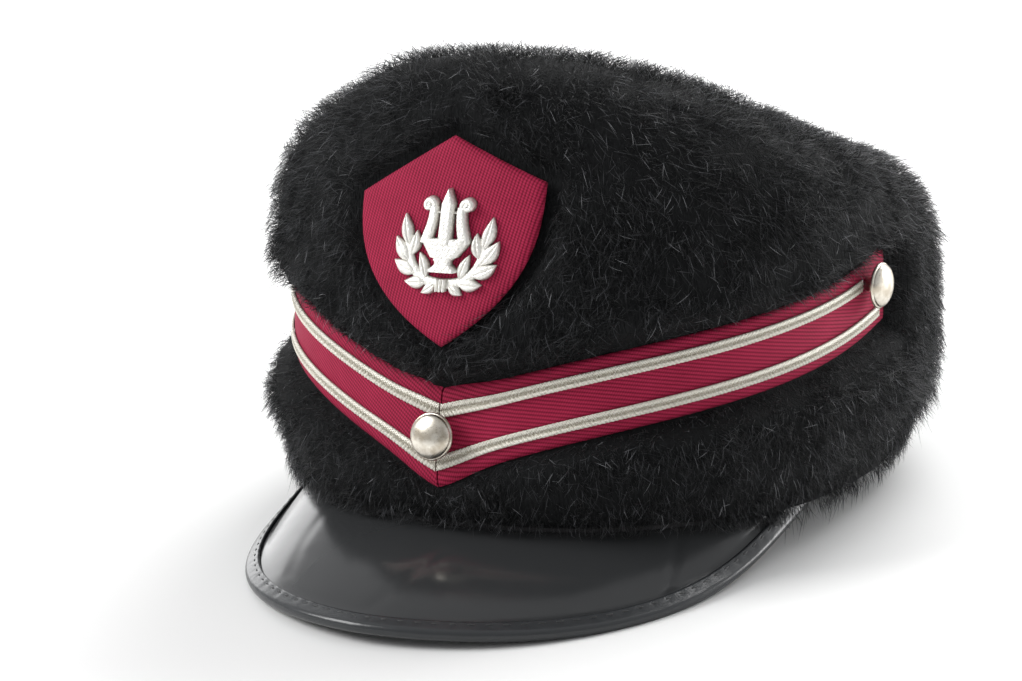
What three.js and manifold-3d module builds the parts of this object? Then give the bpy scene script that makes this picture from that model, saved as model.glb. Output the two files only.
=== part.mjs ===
// Marching band hat: a hollow cloth crown covered in deep black fur, a crimson band that meets
// in a V at the front, silver braid, domed buttons, a cloth shield with a cast lyre badge,
// and a glossy visor with a bound edge. It rests on the visor's edge and the back of its rim.
// Millimetres, +Z up. The wearer looks along -Y, and +X is the wearer's left.

import * as THREE from 'three';
import { mergeVertices } from 'three/addons/utils/BufferGeometryUtils.js';
import Module from 'manifold-3d';

const wasm = await Module();
wasm.setup();

const DEG = Math.PI / 180;
const CLEARANCE = 0.3; // between pieces that touch

// Crown wall: a row for each level of its outer face, from the rim to the top
const PLAN_POWER = 2.23; // superellipse exponent of every level
const WALL = 2.5;
const CROWN_LEVELS = [
  { frontZ: 9, backZ: 0, halfWidth: 84, front: 103, back: 101 },
  { frontZ: 23, backZ: 20, halfWidth: 89.5, front: 105, back: 105.5 },
  { frontZ: 41, backZ: 36, halfWidth: 90, front: 101.5, back: 108 },
  { frontZ: 67, backZ: 52, halfWidth: 90.5, front: 97, back: 108 },
  { frontZ: 94, backZ: 67, halfWidth: 90, front: 91, back: 103 },
  { frontZ: 114, backZ: 76, halfWidth: 84, front: 85, back: 96 },
  { frontZ: 128, backZ: 78, halfWidth: 66, front: 79, back: 83 },
  { frontZ: 132.5, backZ: 84, halfWidth: 50, front: 67, back: 66 },
  { frontZ: 124, backZ: 99, halfWidth: 27, front: 32, back: 35 },
  { frontZ: 112.5, backZ: 112.5, halfWidth: 0, front: 0, back: 0 },
];
const CROWN_COLUMNS = 32;
const CROWN_RINGS = 10;
const TOP_RING = 0.95; // level of the highest ring of points
const CREST = 0.62; // level below which every column of the wall rises
const SKIRT = 60; // how far a block that is cut away reaches below the rim

// Fur: a dense pile, with leaning locks standing out of it
const PILE_DEPTH = 8.5;
const FUR_DEPTH = 12.5;
const PILE_EDGE = 4.5; // depth of the pile at its lower hem
const PILE_SHOULDER = 7.3; // and on the row above that
const PILE_HEM_ROWS = [0, 0.035, 0.09];
const PILE_BODY = { from: 0.19, to: 0.95, rows: 8 };
const FUR_HEM = { front: 4.6, back: 3, frontEnd: 84 * DEG, backStart: 108 * DEG }; // above the rim
const FUR_LOW = { pile: 5.4, locks: 8 }; // depths below the band, where the fur lies closer
const LOCK = { sides: 3, root: 4, baseRadius: 9.5, lean: 11, swirl: 0.4, clear: 7, endClear: 8 * DEG };
const LOCK_ROWS = [
  { u: 0.125, count: 30 },
  { u: 0.19, count: 30 },
  { u: 0.255, count: 30 },
  { u: 0.325, count: 30 },
  { u: 0.4, count: 30 },
  { u: 0.47, count: 28 },
  { u: 0.54, count: 26 },
  { u: 0.61, count: 24 },
  { u: 0.68, count: 20 },
  { u: 0.755, count: 16 },
  { u: 0.84, count: 11 },
  { u: 0.93, count: 5 },
];

// Band: its centre line rises from the V as a cubic of the angle round the crown, in radians,
// with its own curve on the wearer's left and right
const BAND = { v: 36.2, width: 22.4, thick: 1.2, depth: 1.6 };
const BAND_CURVES = {
  left: { rise: 38.9, ease: -27.6, turn: 9.5 },
  right: { rise: 42.8, ease: -23.4, turn: 4.9 },
};
const BAND_END = 91 * DEG;
const BAND_STEPS = 16;
const BAND_SPREAD = 1.25; // crowds the steps towards the V
const BAND_SEAM = 0.08 * DEG; // half the seam between the two bands at the V
const V_FLARE = 0.18; // how much taller the band is at the V
const V_REACH = 6 * DEG;
const V_NEAR = 2 * DEG; // the slope is taken no nearer to the V than this
const CHANNEL = { side: 0.9, end: 1.2 * DEG, outer: 40 };

// Braid: two flat cords on each band, with a groove along the middle; the upper one ends
// under the side button, beside its shank
const CORD = { offset: 5.9, width: 3.3, thick: 0.9, crest: 0.8, groove: 0.25 };
const CORD_ENDS = { upper: 83 * DEG, lower: 89 * DEG };

// Buttons: domed, with a rim, standing off the band on a shank
const BUTTON = {
  radius: 6.9,
  dome: 2.4,
  domeSteps: 5,
  ledge: 0.9,
  rim: 1.1,
  shank: 2.2,
  stand: 3.8,
  segments: 14,
};
const BUTTON_PLACES = [
  { name: 'button_front', angle: 0, rise: 0.2 },
  { name: 'button_left', angle: 85 * DEG, rise: 5.1 },
  { name: 'button_right', angle: -85 * DEG, rise: 5.1 },
];

// Shield: a pointed top over two uneven corners, and round sides down to the tip
const SHIELD = {
  halfWidth: 29.4,
  centreX: 1,
  tipX: 2.6,
  tipZ: 63.6,
  leftZ: 109.5,
  rightZ: 104.9,
  peakX: 1.3,
  peakZ: 121.6,
  round: 2.7,
  thick: 1.8,
};
const SHIELD_EDGE_STEPS = 9;
const SHIELD_SEAT = 7.9; // depth of the pressed pile under the shield
const SHIELD_FACE = SHIELD_SEAT + CLEARANCE + SHIELD.thick;
const SHIELD_CLEAR = { margin: 0.6, outer: 28 }; // room in the fur round the shield
const SHIELD_GRID = { rows: 6, columns: 10, spare: 4 };
const SHIELD_PRISM = 150; // reaches from the middle of the hat to past its front
const FACE_PASSES = 8; // how often the wall's point below a point of the badge is corrected

// Badge: a lyre in a laurel wreath, drawn one side at a time, up from its lowest leaf
const BADGE = { centreX: 2.9, bottomZ: 78.6, leanFactor: 0.965, slant: 0.03 };
const BADGE_THICK = {
  leaf: 1.6,
  stem: 1.4,
  knot: 2.2,
  lyre: 2.2,
  staff: 2.5,
  arm: 2,
  scroll: 2.1,
  crossbar: 1.3,
};
const LEAF_BELLY = { shares: [0, 0.3, 0.66, 1], skew: 0.85 };
const LEAVES = [
  { baseX: 2.2, baseH: 2.9, tipX: 6.6, tipH: 0.1, width: 3.2 },
  { baseX: 5.2, baseH: 3.4, tipX: 12.4, tipH: 3.2, width: 4 },
  { baseX: 9, baseH: 5.8, tipX: 16.4, tipH: 9.1, width: 4.4 },
  { baseX: 11.4, baseH: 9, tipX: 16.4, tipH: 15.8, width: 4.5 },
  { baseX: 11.8, baseH: 13.4, tipX: 14, tipH: 22.5, width: 4.1 },
  { baseX: 5.4, baseH: 4.4, tipX: 8, tipH: 11.7, width: 3.4 },
  { baseX: 10.8, baseH: 10.6, tipX: 9.6, tipH: 17.9, width: 3.7 },
];
const STEM = [
  { x: 0, h: 2.9 },
  { x: 4.5, h: 3.4 },
  { x: 8.6, h: 5.6 },
  { x: 11, h: 8.8 },
  { x: 12, h: 12.4 },
  { x: 12, h: 16.4 },
];
const STEM_WIDTH = 3.2;
const KNOT = { halfWidth: 1.7, bottom: 1, top: 4.5 };
// Half outline of the lyre's body and foot, from the middle below to the middle above
const LYRE_BODY = [
  { x: 0, h: 6.5 },
  { x: 5, h: 6.5 },
  { x: 5, h: 7.3 },
  { x: 2.7, h: 8.7 },
  { x: 3.2, h: 10.4 },
  { x: 4.6, h: 10.9 },
  { x: 8, h: 14.9 },
  { x: 8.1, h: 15.7 },
  { x: 6.6, h: 18.4 },
  { x: 3.6, h: 17.8 },
  { x: 3.2, h: 15.6 },
  { x: 0, h: 15.6 },
];
const LYRE_STAFF = [
  { x: 0, h: 14.8 },
  { x: 2.05, h: 14.8 },
  { x: 2.05, h: 26 },
  { x: 1.3, h: 27.7 },
  { x: 0, h: 30.3 },
];
const LYRE_ARM = [
  { x: 5.5, h: 17 },
  { x: 4.9, h: 19.5 },
  { x: 4.5, h: 22.5 },
  { x: 4.6, h: 25.6 },
];
const LYRE_ARM_WIDTH = 2.9;
const SCROLL = { x: 6.1, h: 25.4, radius: 2.7 };
const CROSSBAR = { halfWidth: 4, bottom: 23, top: 23.8 };

// Visor: straight lines run out and down from the rim, steeper and shorter towards its ends
const VISOR = {
  root: -3,
  reach: 52,
  end: 79.6 * DEG,
  power: 1.5,
  taper: 1.42,
  thick: 1.4,
  bulge: 1.4,
  lift: 0.6,
};
const VISOR_ROWS = [0, 0.4, 0.8, 1];
const VISOR_FLAT = 2; // beside the binding, where the sheet doesn't bulge
const VISOR_SLOPE = { front: 17.4 * DEG, end: 69.8 * DEG, power: 1.56 };
const VISOR_SWEEP = 0.93; // share of the half angle that the sheet covers
const VISOR_STEPS = 26;
const BINDING = { width: 5.7, leather: 0.8, nose: 1, fold: 1 };

// Rest: the hat tips back until the visor and the rim lie on one plane, which flattens both
const REST_TILT = 2.6 * DEG;
const REST_FLAT = 0.7;
const FLOOR_BLOCK = 400;

const FINISHES = {
  wall: { color: 0x1b1a1c, roughness: 0.9, metalness: 0 },
  fur: { color: 0x101012, roughness: 0.75, metalness: 0 },
  twill: { color: 0x96203f, roughness: 0.85, metalness: 0 },
  braid: { color: 0xb9b2a6, roughness: 0.5, metalness: 0.4 },
  nickel: { color: 0xd9d4c8, roughness: 0.25, metalness: 1 },
  badge: { color: 0xece7dc, roughness: 0.35, metalness: 1 },
  patent: { color: 0x0b0c0d, roughness: 0.15, metalness: 0 },
  binding: { color: 0x141516, roughness: 0.3, metalness: 0 },
};

// Solids and geometries
function solidOf(geometry) {
  const bare = geometry.clone();
  for (const name of Object.keys(bare.attributes)) {
    if (name !== 'position') bare.deleteAttribute(name);
  }
  const merged = mergeVertices(bare, 1e-4);
  const vertProperties = new Float32Array(merged.attributes.position.array);
  const triVerts = new Uint32Array(merged.index.array);
  return new wasm.Manifold(new wasm.Mesh({ numProp: 3, vertProperties, triVerts }));
}

function geometryOf(solid) {
  const mesh = solid.getMesh();
  const geometry = new THREE.BufferGeometry();
  const positions = new Float32Array((mesh.vertProperties.length / mesh.numProp) * 3);
  for (let i = 0; i < positions.length / 3; i += 1) {
    for (let k = 0; k < 3; k += 1) positions[3 * i + k] = mesh.vertProperties[mesh.numProp * i + k];
  }
  geometry.setAttribute('position', new THREE.BufferAttribute(positions, 3));
  geometry.setIndex(Array.from(mesh.triVerts));
  geometry.computeVertexNormals();
  return geometry;
}

function indexedGeometry(points, triangles) {
  const geometry = new THREE.BufferGeometry().setFromPoints(points);
  geometry.setIndex(triangles.flat());
  geometry.computeVertexNormals();
  return geometry;
}

// A filled dome: rings of points from the bottom to the top, closed by a point at each end
function domeGeometry(rings, apex) {
  const columns = rings[0].length;
  const base = new THREE.Vector3();
  for (const point of rings[0]) base.addScaledVector(point, 1 / columns);
  const points = [...rings.flat(), base, apex];
  const [baseIndex, apexIndex] = [points.length - 2, points.length - 1];
  const top = (rings.length - 1) * columns;
  const triangles = [];
  for (let j = 0; j < columns; j += 1) {
    const next = (j + 1) % columns;
    triangles.push([baseIndex, next, j], [apexIndex, top + j, top + next]);
    for (let i = 0; i < rings.length - 1; i += 1) {
      const [low, high] = [i * columns, (i + 1) * columns];
      triangles.push([low + j, low + next, high + next], [low + j, high + next, high + j]);
    }
  }
  return indexedGeometry(points, triangles);
}

// A profile of [across, out] points carried through the steps, with flat ends
function sweepGeometry(profile, steps, place) {
  const count = profile.length;
  const points = steps.flatMap((step) => profile.map(([across, out]) => place(step, across, out)));
  const outline = profile.map(([across, out]) => new THREE.Vector2(across, out));
  const last = (steps.length - 1) * count;
  const triangles = [];
  for (const [a, b, c] of THREE.ShapeUtils.triangulateShape(outline, [])) {
    triangles.push([a, b, c], [last + a, last + c, last + b]);
  }
  for (let i = 0; i < steps.length - 1; i += 1) {
    for (let k = 0; k < count; k += 1) {
      const next = (k + 1) % count;
      const [near, far] = [i * count, (i + 1) * count];
      triangles.push([near + k, far + next, near + next], [near + k, far + k, far + next]);
    }
  }
  return indexedGeometry(points, triangles);
}

function outwardSolid(geometry) {
  const solid = solidOf(geometry);
  if (solid.volume() > 0) return solid;
  const turned = geometry.clone();
  const index = Array.from(turned.index.array);
  for (let i = 0; i < index.length; i += 3) [index[i], index[i + 1]] = [index[i + 1], index[i]];
  turned.setIndex(index);
  return solidOf(turned);
}

// Crown surface: angle 0 is the front, positive towards +X, and u runs from the rim to the top
const signedPower = (value) => Math.sign(value) * Math.abs(value) ** (2 / PLAN_POWER);

function levelAt(u) {
  const last = CROWN_LEVELS.length - 1;
  const x = THREE.MathUtils.clamp(u, 0, 1) * last;
  const i = Math.min(Math.floor(x), last - 1);
  const t = x - i;
  const row = (k) => CROWN_LEVELS[THREE.MathUtils.clamp(k, 0, last)];
  const level = {};
  for (const name of Object.keys(CROWN_LEVELS[0])) {
    const [a, b, c, d] = [row(i - 1)[name], row(i)[name], row(i + 1)[name], row(i + 2)[name]];
    const cubic = (3 * b - a - 3 * c + d) * t ** 3;
    level[name] = 0.5 * (2 * b + (c - a) * t + (2 * a - 5 * b + 4 * c - d) * t * t + cubic);
  }
  return level;
}

function wallPoint(angle, u) {
  const { frontZ, backZ, halfWidth, front, back } = levelAt(u);
  const along = signedPower(Math.cos(angle));
  const y = -along * (along > 0 ? front : back);
  const z = (frontZ + backZ) / 2 + ((frontZ - backZ) / 2) * along;
  return new THREE.Vector3(halfWidth * signedPower(Math.sin(angle)), y, z);
}

function wallNormal(angle, u) {
  const step = 2e-3;
  const round = wallPoint(angle + step, u).sub(wallPoint(angle - step, u));
  const up = wallPoint(angle, Math.min(u + step, 1)).sub(wallPoint(angle, Math.max(u - step, 0)));
  return round.cross(up).normalize();
}

const crownPoint = (angle, u, out) => wallPoint(angle, u).addScaledVector(wallNormal(angle, u), out);

function levelOfHeight(angle, z) {
  let [low, high] = [0, CREST];
  for (let i = 0; i < 40; i += 1) {
    const middle = (low + high) / 2;
    if (wallPoint(angle, middle).z < z) low = middle;
    else high = middle;
  }
  return (low + high) / 2;
}

function apexPoint(out) {
  const ring = 0.99;
  const slope = wallPoint(0, ring).sub(wallPoint(Math.PI, ring));
  const normal = new THREE.Vector3(1, 0, 0).cross(slope).normalize();
  if (normal.z < 0) normal.negate();
  return wallPoint(0, 1).addScaledVector(normal, out);
}

const columnAngles = Array.from({ length: CROWN_COLUMNS }, (_, j) => (2 * Math.PI * j) / CROWN_COLUMNS);
const ringLevels = Array.from({ length: CROWN_RINGS }, (_, i) => (TOP_RING * i) / (CROWN_RINGS - 1));

// The solid inside the wall's outer face moved out by a distance, with a skirt below the rim
function crownBlock(out, skirt) {
  const rings = ringLevels.map((u) => columnAngles.map((angle) => crownPoint(angle, u, out)));
  if (skirt > 0) rings.unshift(rings[0].map((point) => point.clone().setZ(point.z - skirt)));
  return outwardSolid(domeGeometry(rings, apexPoint(out)));
}

// Band
const bandCentre = (angle) => {
  const { rise, ease, turn } = angle < 0 ? BAND_CURVES.right : BAND_CURVES.left;
  const q = Math.abs(angle);
  return BAND.v + rise * q + ease * q ** 2 + turn * q ** 3;
};

function bandStretch(angle) {
  const side = angle < 0 ? -1 : 1;
  const q = Math.max(Math.abs(angle), V_NEAR);
  const step = 0.5 * DEG;
  const [low, high] = [q - step, q + step].map((a) =>
    wallPoint(side * a, levelOfHeight(side * a, bandCentre(side * a))));
  const run = Math.hypot(high.x - low.x, high.y - low.y);
  const flare = V_FLARE * Math.exp(-((angle / V_REACH) ** 2));
  return Math.hypot(1, (high.z - low.z) / run) * (1 + flare);
}

function bandPoint(angle, across, out) {
  const z = bandCentre(angle) + across * bandStretch(angle);
  return crownPoint(angle, levelOfHeight(angle, z), out);
}

function bandAngles(from, to) {
  const spread = (i) => (i / BAND_STEPS) ** BAND_SPREAD;
  return Array.from({ length: BAND_STEPS + 1 }, (_, i) => from + (to - from) * spread(i));
}

// A strip of the band between two distances out of the wall, as rows across its width
function bandProfile(half, inner, outer) {
  const rows = [-half, -CORD.offset, CORD.offset, half];
  return [...rows.map((across) => [across, inner]), ...rows.reverse().map((across) => [across, outer])];
}

function bandGeometry(side) {
  const profile = bandProfile(BAND.width / 2, BAND.depth, BAND.depth + BAND.thick);
  const steps = bandAngles(BAND_SEAM, BAND_END).map((angle) => side * angle);
  return geometryOf(outwardSolid(sweepGeometry(profile, steps, bandPoint)));
}

function bandChannel() {
  const half = BAND.width / 2 + CHANNEL.side;
  const profile = bandProfile(half, BAND.depth - CLEARANCE, CHANNEL.outer);
  const angles = bandAngles(0, BAND_END + CHANNEL.end);
  const steps = [...angles.slice(1).reverse().map((angle) => -angle), ...angles];
  return outwardSolid(sweepGeometry(profile, steps, bandPoint));
}

function cordGeometry(side, row, end) {
  const half = CORD.width / 2;
  const low = BAND.depth + BAND.thick + CLEARANCE;
  const profile = [
    [-half, low],
    [half, low],
    [half * CORD.crest, low + CORD.thick],
    [0, low + CORD.thick - CORD.groove],
    [-half * CORD.crest, low + CORD.thick],
  ].map(([across, out]) => [across + row * CORD.offset, out]);
  const steps = bandAngles(BAND_SEAM, end).map((angle) => side * angle);
  return geometryOf(outwardSolid(sweepGeometry(profile, steps, bandPoint)));
}

// Buttons
function buttonGeometry() {
  const { radius, stand, rim, shank } = BUTTON;
  const profile = [[0, 0], [shank, 0], [shank, stand], [radius, stand], [radius, stand + rim]];
  for (let i = 1; i <= BUTTON.domeSteps; i += 1) {
    const turn = (i / BUTTON.domeSteps) * 90 * DEG;
    const across = i < BUTTON.domeSteps ? (radius - BUTTON.ledge) * Math.cos(turn) : 0;
    profile.push([across, stand + rim + BUTTON.dome * Math.sin(turn)]);
  }
  const lathe = new THREE.LatheGeometry(profile.map(([r, h]) => new THREE.Vector2(r, h)), BUTTON.segments);
  return geometryOf(outwardSolid(lathe.rotateX(90 * DEG)));
}

function placeButton(mesh, angle, rise) {
  const u = levelOfHeight(angle, bandCentre(angle) + rise);
  const seat = BAND.depth + BAND.thick + CLEARANCE;
  mesh.position.copy(crownPoint(angle, u, seat));
  mesh.quaternion.setFromUnitVectors(new THREE.Vector3(0, 0, 1), wallNormal(angle, u));
}

// Front of the crown: a point by its distance from the middle, its height and its distance out
function frontPoint(x, z, out) {
  const { halfWidth } = levelAt(levelOfHeight(0, z));
  const angle = Math.sign(x) * Math.asin((Math.abs(x) / halfWidth) ** (PLAN_POWER / 2));
  return crownPoint(angle, levelOfHeight(angle, z), out);
}

// A point over the front of the crown, by its own distance from the middle and its own height
function facePoint(x, z, out) {
  let [wallX, wallZ] = [x, z];
  let point = frontPoint(wallX, wallZ, out);
  for (let i = 0; i < FACE_PASSES; i += 1) {
    wallX += x - point.x;
    wallZ += z - point.z;
    point = frontPoint(wallX, wallZ, out);
  }
  return point;
}

function shieldOutline(margin) {
  const { halfWidth, centreX, tipX, tipZ, leftZ, rightZ, peakX, peakZ, round } = SHIELD;
  const sideEdge = (side, cornerZ) => Array.from({ length: SHIELD_EDGE_STEPS + 1 }, (_, i) => {
    const t = i / SHIELD_EDGE_STEPS;
    const cornerX = centreX + side * (halfWidth + margin);
    const x = THREE.MathUtils.lerp(tipX, cornerX, 1 - (1 - t) ** round);
    return new THREE.Vector2(x, THREE.MathUtils.lerp(tipZ - margin, cornerZ, t));
  });
  const peak = new THREE.Vector2(peakX, peakZ + margin);
  return [...sideEdge(1, leftZ), peak, ...sideEdge(-1, rightZ).slice(1).reverse()];
}

function shieldPrism(margin) {
  const shape = new THREE.Shape(shieldOutline(margin));
  const prism = new THREE.ExtrudeGeometry(shape, { depth: SHIELD_PRISM, bevelEnabled: false });
  return outwardSolid(prism.rotateX(90 * DEG));
}

// A sheet over the front of the crown, cut to the shield's outline with a margin round it
function shieldSheet(inner, outer, margin) {
  const spare = SHIELD_GRID.spare;
  const half = SHIELD.halfWidth + spare;
  const rows = Array.from({ length: SHIELD_GRID.rows + 1 }, (_, i) =>
    THREE.MathUtils.lerp(SHIELD.tipZ - spare, SHIELD.peakZ + spare, i / SHIELD_GRID.rows));
  const steps = Array.from({ length: SHIELD_GRID.columns + 1 }, (_, i) =>
    SHIELD.centreX + THREE.MathUtils.lerp(-half, half, i / SHIELD_GRID.columns));
  const profile = [...rows.map((z) => [z, inner]), ...rows.reverse().map((z) => [z, outer])];
  return outwardSolid(sweepGeometry(profile, steps, frontPoint)).intersect(shieldPrism(margin));
}

// Badge, drawn flat and then bent onto the shield
function slab(outline, thick) {
  const shape = new THREE.Shape(outline.map(({ x, h }) => new THREE.Vector2(x, h)));
  return outwardSolid(new THREE.ExtrudeGeometry(shape, { depth: thick, bevelEnabled: false }));
}

function mirroredSlab(half, thick) {
  const other = half.filter(({ x }) => x > 0).reverse().map(({ x, h }) => ({ x: -x, h }));
  return slab([...half, ...other], thick);
}

// A strip of constant width along a centre line, as one outline
function stripOutline(line, width) {
  const left = [];
  const right = [];
  line.forEach(({ x, h }, i) => {
    const [before, after] = [line[Math.max(i - 1, 0)], line[Math.min(i + 1, line.length - 1)]];
    const length = Math.hypot(after.x - before.x, after.h - before.h);
    const [nx, nh] = [-(after.h - before.h) / length, (after.x - before.x) / length];
    left.push({ x: x + (nx * width) / 2, h: h + (nh * width) / 2 });
    right.unshift({ x: x - (nx * width) / 2, h: h - (nh * width) / 2 });
  });
  return [...left, ...right];
}

function leafOutline({ baseX, baseH, tipX, tipH, width }) {
  const [dx, dh] = [tipX - baseX, tipH - baseH];
  const length = Math.hypot(dx, dh);
  const edge = (side) => LEAF_BELLY.shares.map((t) => {
    const reach = (side * width * Math.sin(Math.PI * t ** LEAF_BELLY.skew)) / 2;
    return { x: baseX + dx * t - (dh / length) * reach, h: baseH + dh * t + (dx / length) * reach };
  });
  return [...edge(1), ...edge(-1).slice(1, -1).reverse()];
}

function discOutline({ x, h, radius }) {
  const sides = 10;
  return Array.from({ length: sides }, (_, i) => {
    const turn = (2 * Math.PI * i) / sides;
    return { x: x + radius * Math.cos(turn), h: h + radius * Math.sin(turn) };
  });
}

function boxOutline({ halfWidth, bottom, top }) {
  const corners = [[-1, bottom], [1, bottom], [1, top], [-1, top]];
  return corners.map(([side, h]) => ({ x: side * halfWidth, h }));
}

function badgeGeometry() {
  const mirror = (outline) => outline.map(({ x, h }) => ({ x: -x, h }));
  let solid = mirroredSlab(LYRE_BODY, BADGE_THICK.lyre)
    .add(mirroredSlab(LYRE_STAFF, BADGE_THICK.staff))
    .add(slab(boxOutline(CROSSBAR), BADGE_THICK.crossbar))
    .add(slab(boxOutline(KNOT), BADGE_THICK.knot));
  const halves = [
    ...LEAVES.map((leaf) => ({ outline: leafOutline(leaf), thick: BADGE_THICK.leaf })),
    { outline: stripOutline(STEM, STEM_WIDTH), thick: BADGE_THICK.stem },
    { outline: stripOutline(LYRE_ARM, LYRE_ARM_WIDTH), thick: BADGE_THICK.arm },
    { outline: discOutline(SCROLL), thick: BADGE_THICK.scroll },
  ];
  for (const { outline, thick } of halves) {
    solid = solid.add(slab(outline, thick)).add(slab(mirror(outline), thick));
  }
  const geometry = geometryOf(solid);
  const position = geometry.attributes.position;
  for (let i = 0; i < position.count; i += 1) {
    const x = BADGE.centreX + position.getX(i) + BADGE.slant * (position.getY(i) - LYRE_BODY[0].h);
    const z = BADGE.bottomZ + position.getY(i) * BADGE.leanFactor;
    const bent = facePoint(x, z, SHIELD_FACE + CLEARANCE + position.getZ(i));
    position.setXYZ(i, bent.x, bent.y, bent.z);
  }
  geometry.computeVertexNormals();
  return geometry;
}

// Visor: a point by its angle, its distance from the rim and its height over the sheet
const visorReach = (angle) => {
  const t = Math.min(Math.abs(angle) / VISOR.end, 1);
  return VISOR.reach * (1 - t ** VISOR.power) ** VISOR.taper;
};

function visorPoint(angle, distance, height) {
  const step = 1e-3;
  const along = wallPoint(angle + step, 0).sub(wallPoint(angle - step, 0)).setZ(0).normalize();
  const outward = new THREE.Vector3(along.y, -along.x, 0);
  const steepness = (Math.abs(angle) / VISOR.end) ** VISOR_SLOPE.power;
  const slope = THREE.MathUtils.lerp(VISOR_SLOPE.front, VISOR_SLOPE.end, steepness);
  const reach = visorReach(angle);
  const share = THREE.MathUtils.clamp(distance / Math.max(reach - BINDING.width - VISOR_FLAT, 1), 0, 1);
  const lift = height + VISOR.bulge * (reach / VISOR.reach) * 4 * share * (1 - share);
  return wallPoint(angle, 0)
    .addScaledVector(outward, distance * Math.cos(slope) + lift * Math.sin(slope))
    .add(new THREE.Vector3(0, 0, VISOR.lift - distance * Math.sin(slope) + lift * Math.cos(slope)));
}

const visorAngles = Array.from({ length: VISOR_STEPS + 1 }, (_, i) =>
  VISOR.end * VISOR_SWEEP * THREE.MathUtils.lerp(-1, 1, i / VISOR_STEPS));

function visorSolid() {
  const half = VISOR.thick / 2;
  const below = VISOR_ROWS.map((share) => [share, -half]);
  const above = VISOR_ROWS.map((share) => [share, half]).reverse();
  const inset = BINDING.nose + BINDING.fold + CLEARANCE;
  const place = (angle, share, height) =>
    visorPoint(angle, THREE.MathUtils.lerp(VISOR.root, visorReach(angle) - inset, share), height);
  return outwardSolid(sweepGeometry([...below, ...above], visorAngles, place));
}

function bindingSolid() {
  const slot = VISOR.thick / 2 + CLEARANCE;
  const outer = slot + BINDING.leather;
  const slotEnd = -BINDING.nose - BINDING.fold;
  const profile = [
    [-BINDING.width, slot],
    [slotEnd, slot],
    [slotEnd, -slot],
    [-BINDING.width, -slot],
    [-BINDING.width, -outer],
    [-BINDING.nose, -outer],
    [0, -outer / 2],
    [0, outer / 2],
    [-BINDING.nose, outer],
    [-BINDING.width, outer],
  ];
  const place = (angle, across, height) => visorPoint(angle, visorReach(angle) + across, height);
  return outwardSolid(sweepGeometry(profile, visorAngles, place));
}

// Fur
function hemLevel(angle) {
  const around = Math.abs(Math.atan2(Math.sin(angle), Math.cos(angle)));
  const share = THREE.MathUtils.smoothstep(around, FUR_HEM.frontEnd, FUR_HEM.backStart);
  const hem = THREE.MathUtils.lerp(FUR_HEM.front, FUR_HEM.back, share);
  return levelOfHeight(angle, wallPoint(angle, 0).z + hem);
}

// 1 in front below the middle of the band, 0 above it and at the back
function lowShare(angle, u) {
  const around = Math.atan2(Math.sin(angle), Math.cos(angle));
  if (wallPoint(angle, u).z > bandCentre(around)) return 0;
  return 1 - THREE.MathUtils.smoothstep(Math.abs(around), FUR_HEM.frontEnd, FUR_HEM.backStart);
}

function pileSolid() {
  const body = Array.from({ length: PILE_BODY.rows }, (_, i) =>
    THREE.MathUtils.lerp(PILE_BODY.from, PILE_BODY.to, i / (PILE_BODY.rows - 1)));
  const depths = [PILE_EDGE, PILE_SHOULDER];
  const rings = [...PILE_HEM_ROWS, ...body].map((share, i) => columnAngles.map((angle) => {
    const u = THREE.MathUtils.lerp(hemLevel(angle), 1, share);
    const depth = THREE.MathUtils.lerp(PILE_DEPTH, FUR_LOW.pile, lowShare(angle, u));
    return crownPoint(angle, u, Math.min(depths[i] ?? depth, depth));
  }));
  return outwardSolid(domeGeometry(rings, apexPoint(PILE_DEPTH)));
}

function lockGeometry(angle, u) {
  const normal = wallNormal(angle, u);
  const across = new THREE.Vector3(0, 0, 1).cross(normal).normalize();
  const down = across.clone().cross(normal).normalize();
  const nap = down.addScaledVector(across, LOCK.swirl * Math.sin(3 * angle + 9 * u)).normalize();
  const side = normal.clone().cross(nap);
  const foot = wallPoint(angle, u);
  const at = (out, lean) => foot.clone().addScaledVector(normal, out).addScaledVector(nap, lean);
  const ring = (centre, radius) => Array.from({ length: LOCK.sides }, (_, i) => {
    const turn = (2 * Math.PI * i) / LOCK.sides;
    const offset = nap.clone().multiplyScalar(radius * Math.cos(turn));
    return offset.addScaledVector(side, radius * Math.sin(turn)).add(centre);
  });
  const depth = THREE.MathUtils.lerp(FUR_DEPTH, FUR_LOW.locks, lowShare(angle, u));
  return domeGeometry([ring(at(LOCK.root, -LOCK.lean / 4), LOCK.baseRadius)], at(depth, LOCK.lean));
}

// A lock stands only where nothing presses the pile flat
function lockIsFree(angle, u) {
  const around = Math.atan2(Math.sin(angle), Math.cos(angle));
  const point = wallPoint(angle, u);
  const bandHalf = (BAND.width / 2) * bandStretch(around) + LOCK.clear;
  const onBand = Math.abs(point.z - bandCentre(around)) < bandHalf;
  if (Math.abs(around) < BAND_END + LOCK.endClear && onBand) return false;
  const { halfWidth, tipZ, peakZ, centreX } = SHIELD;
  const besideShield = Math.abs(point.x - centreX) < halfWidth + LOCK.clear;
  return !(point.y < 0 && besideShield && point.z > tipZ - LOCK.clear && point.z < peakZ + LOCK.clear);
}

function furSolid() {
  let fur = pileSolid();
  LOCK_ROWS.forEach(({ u, count }, row) => {
    for (let i = 0; i < count; i += 1) {
      const angle = (2 * Math.PI * (i + (row % 2) / 2)) / count;
      if (lockIsFree(angle, u)) fur = fur.add(outwardSolid(lockGeometry(angle, u)));
    }
  });
  const shieldRoom = shieldSheet(SHIELD_SEAT, SHIELD_CLEAR.outer, SHIELD_CLEAR.margin);
  return fur.subtract(crownBlock(CLEARANCE, SKIRT)).subtract(bandChannel()).subtract(shieldRoom);
}

function wallSolid() {
  return crownBlock(0, 0).subtract(crownBlock(-WALL, SKIRT));
}

// Rest: everything below one tilted plane is pressed flat
const tilt = new THREE.Matrix4().makeRotationX(-REST_TILT);

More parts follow.
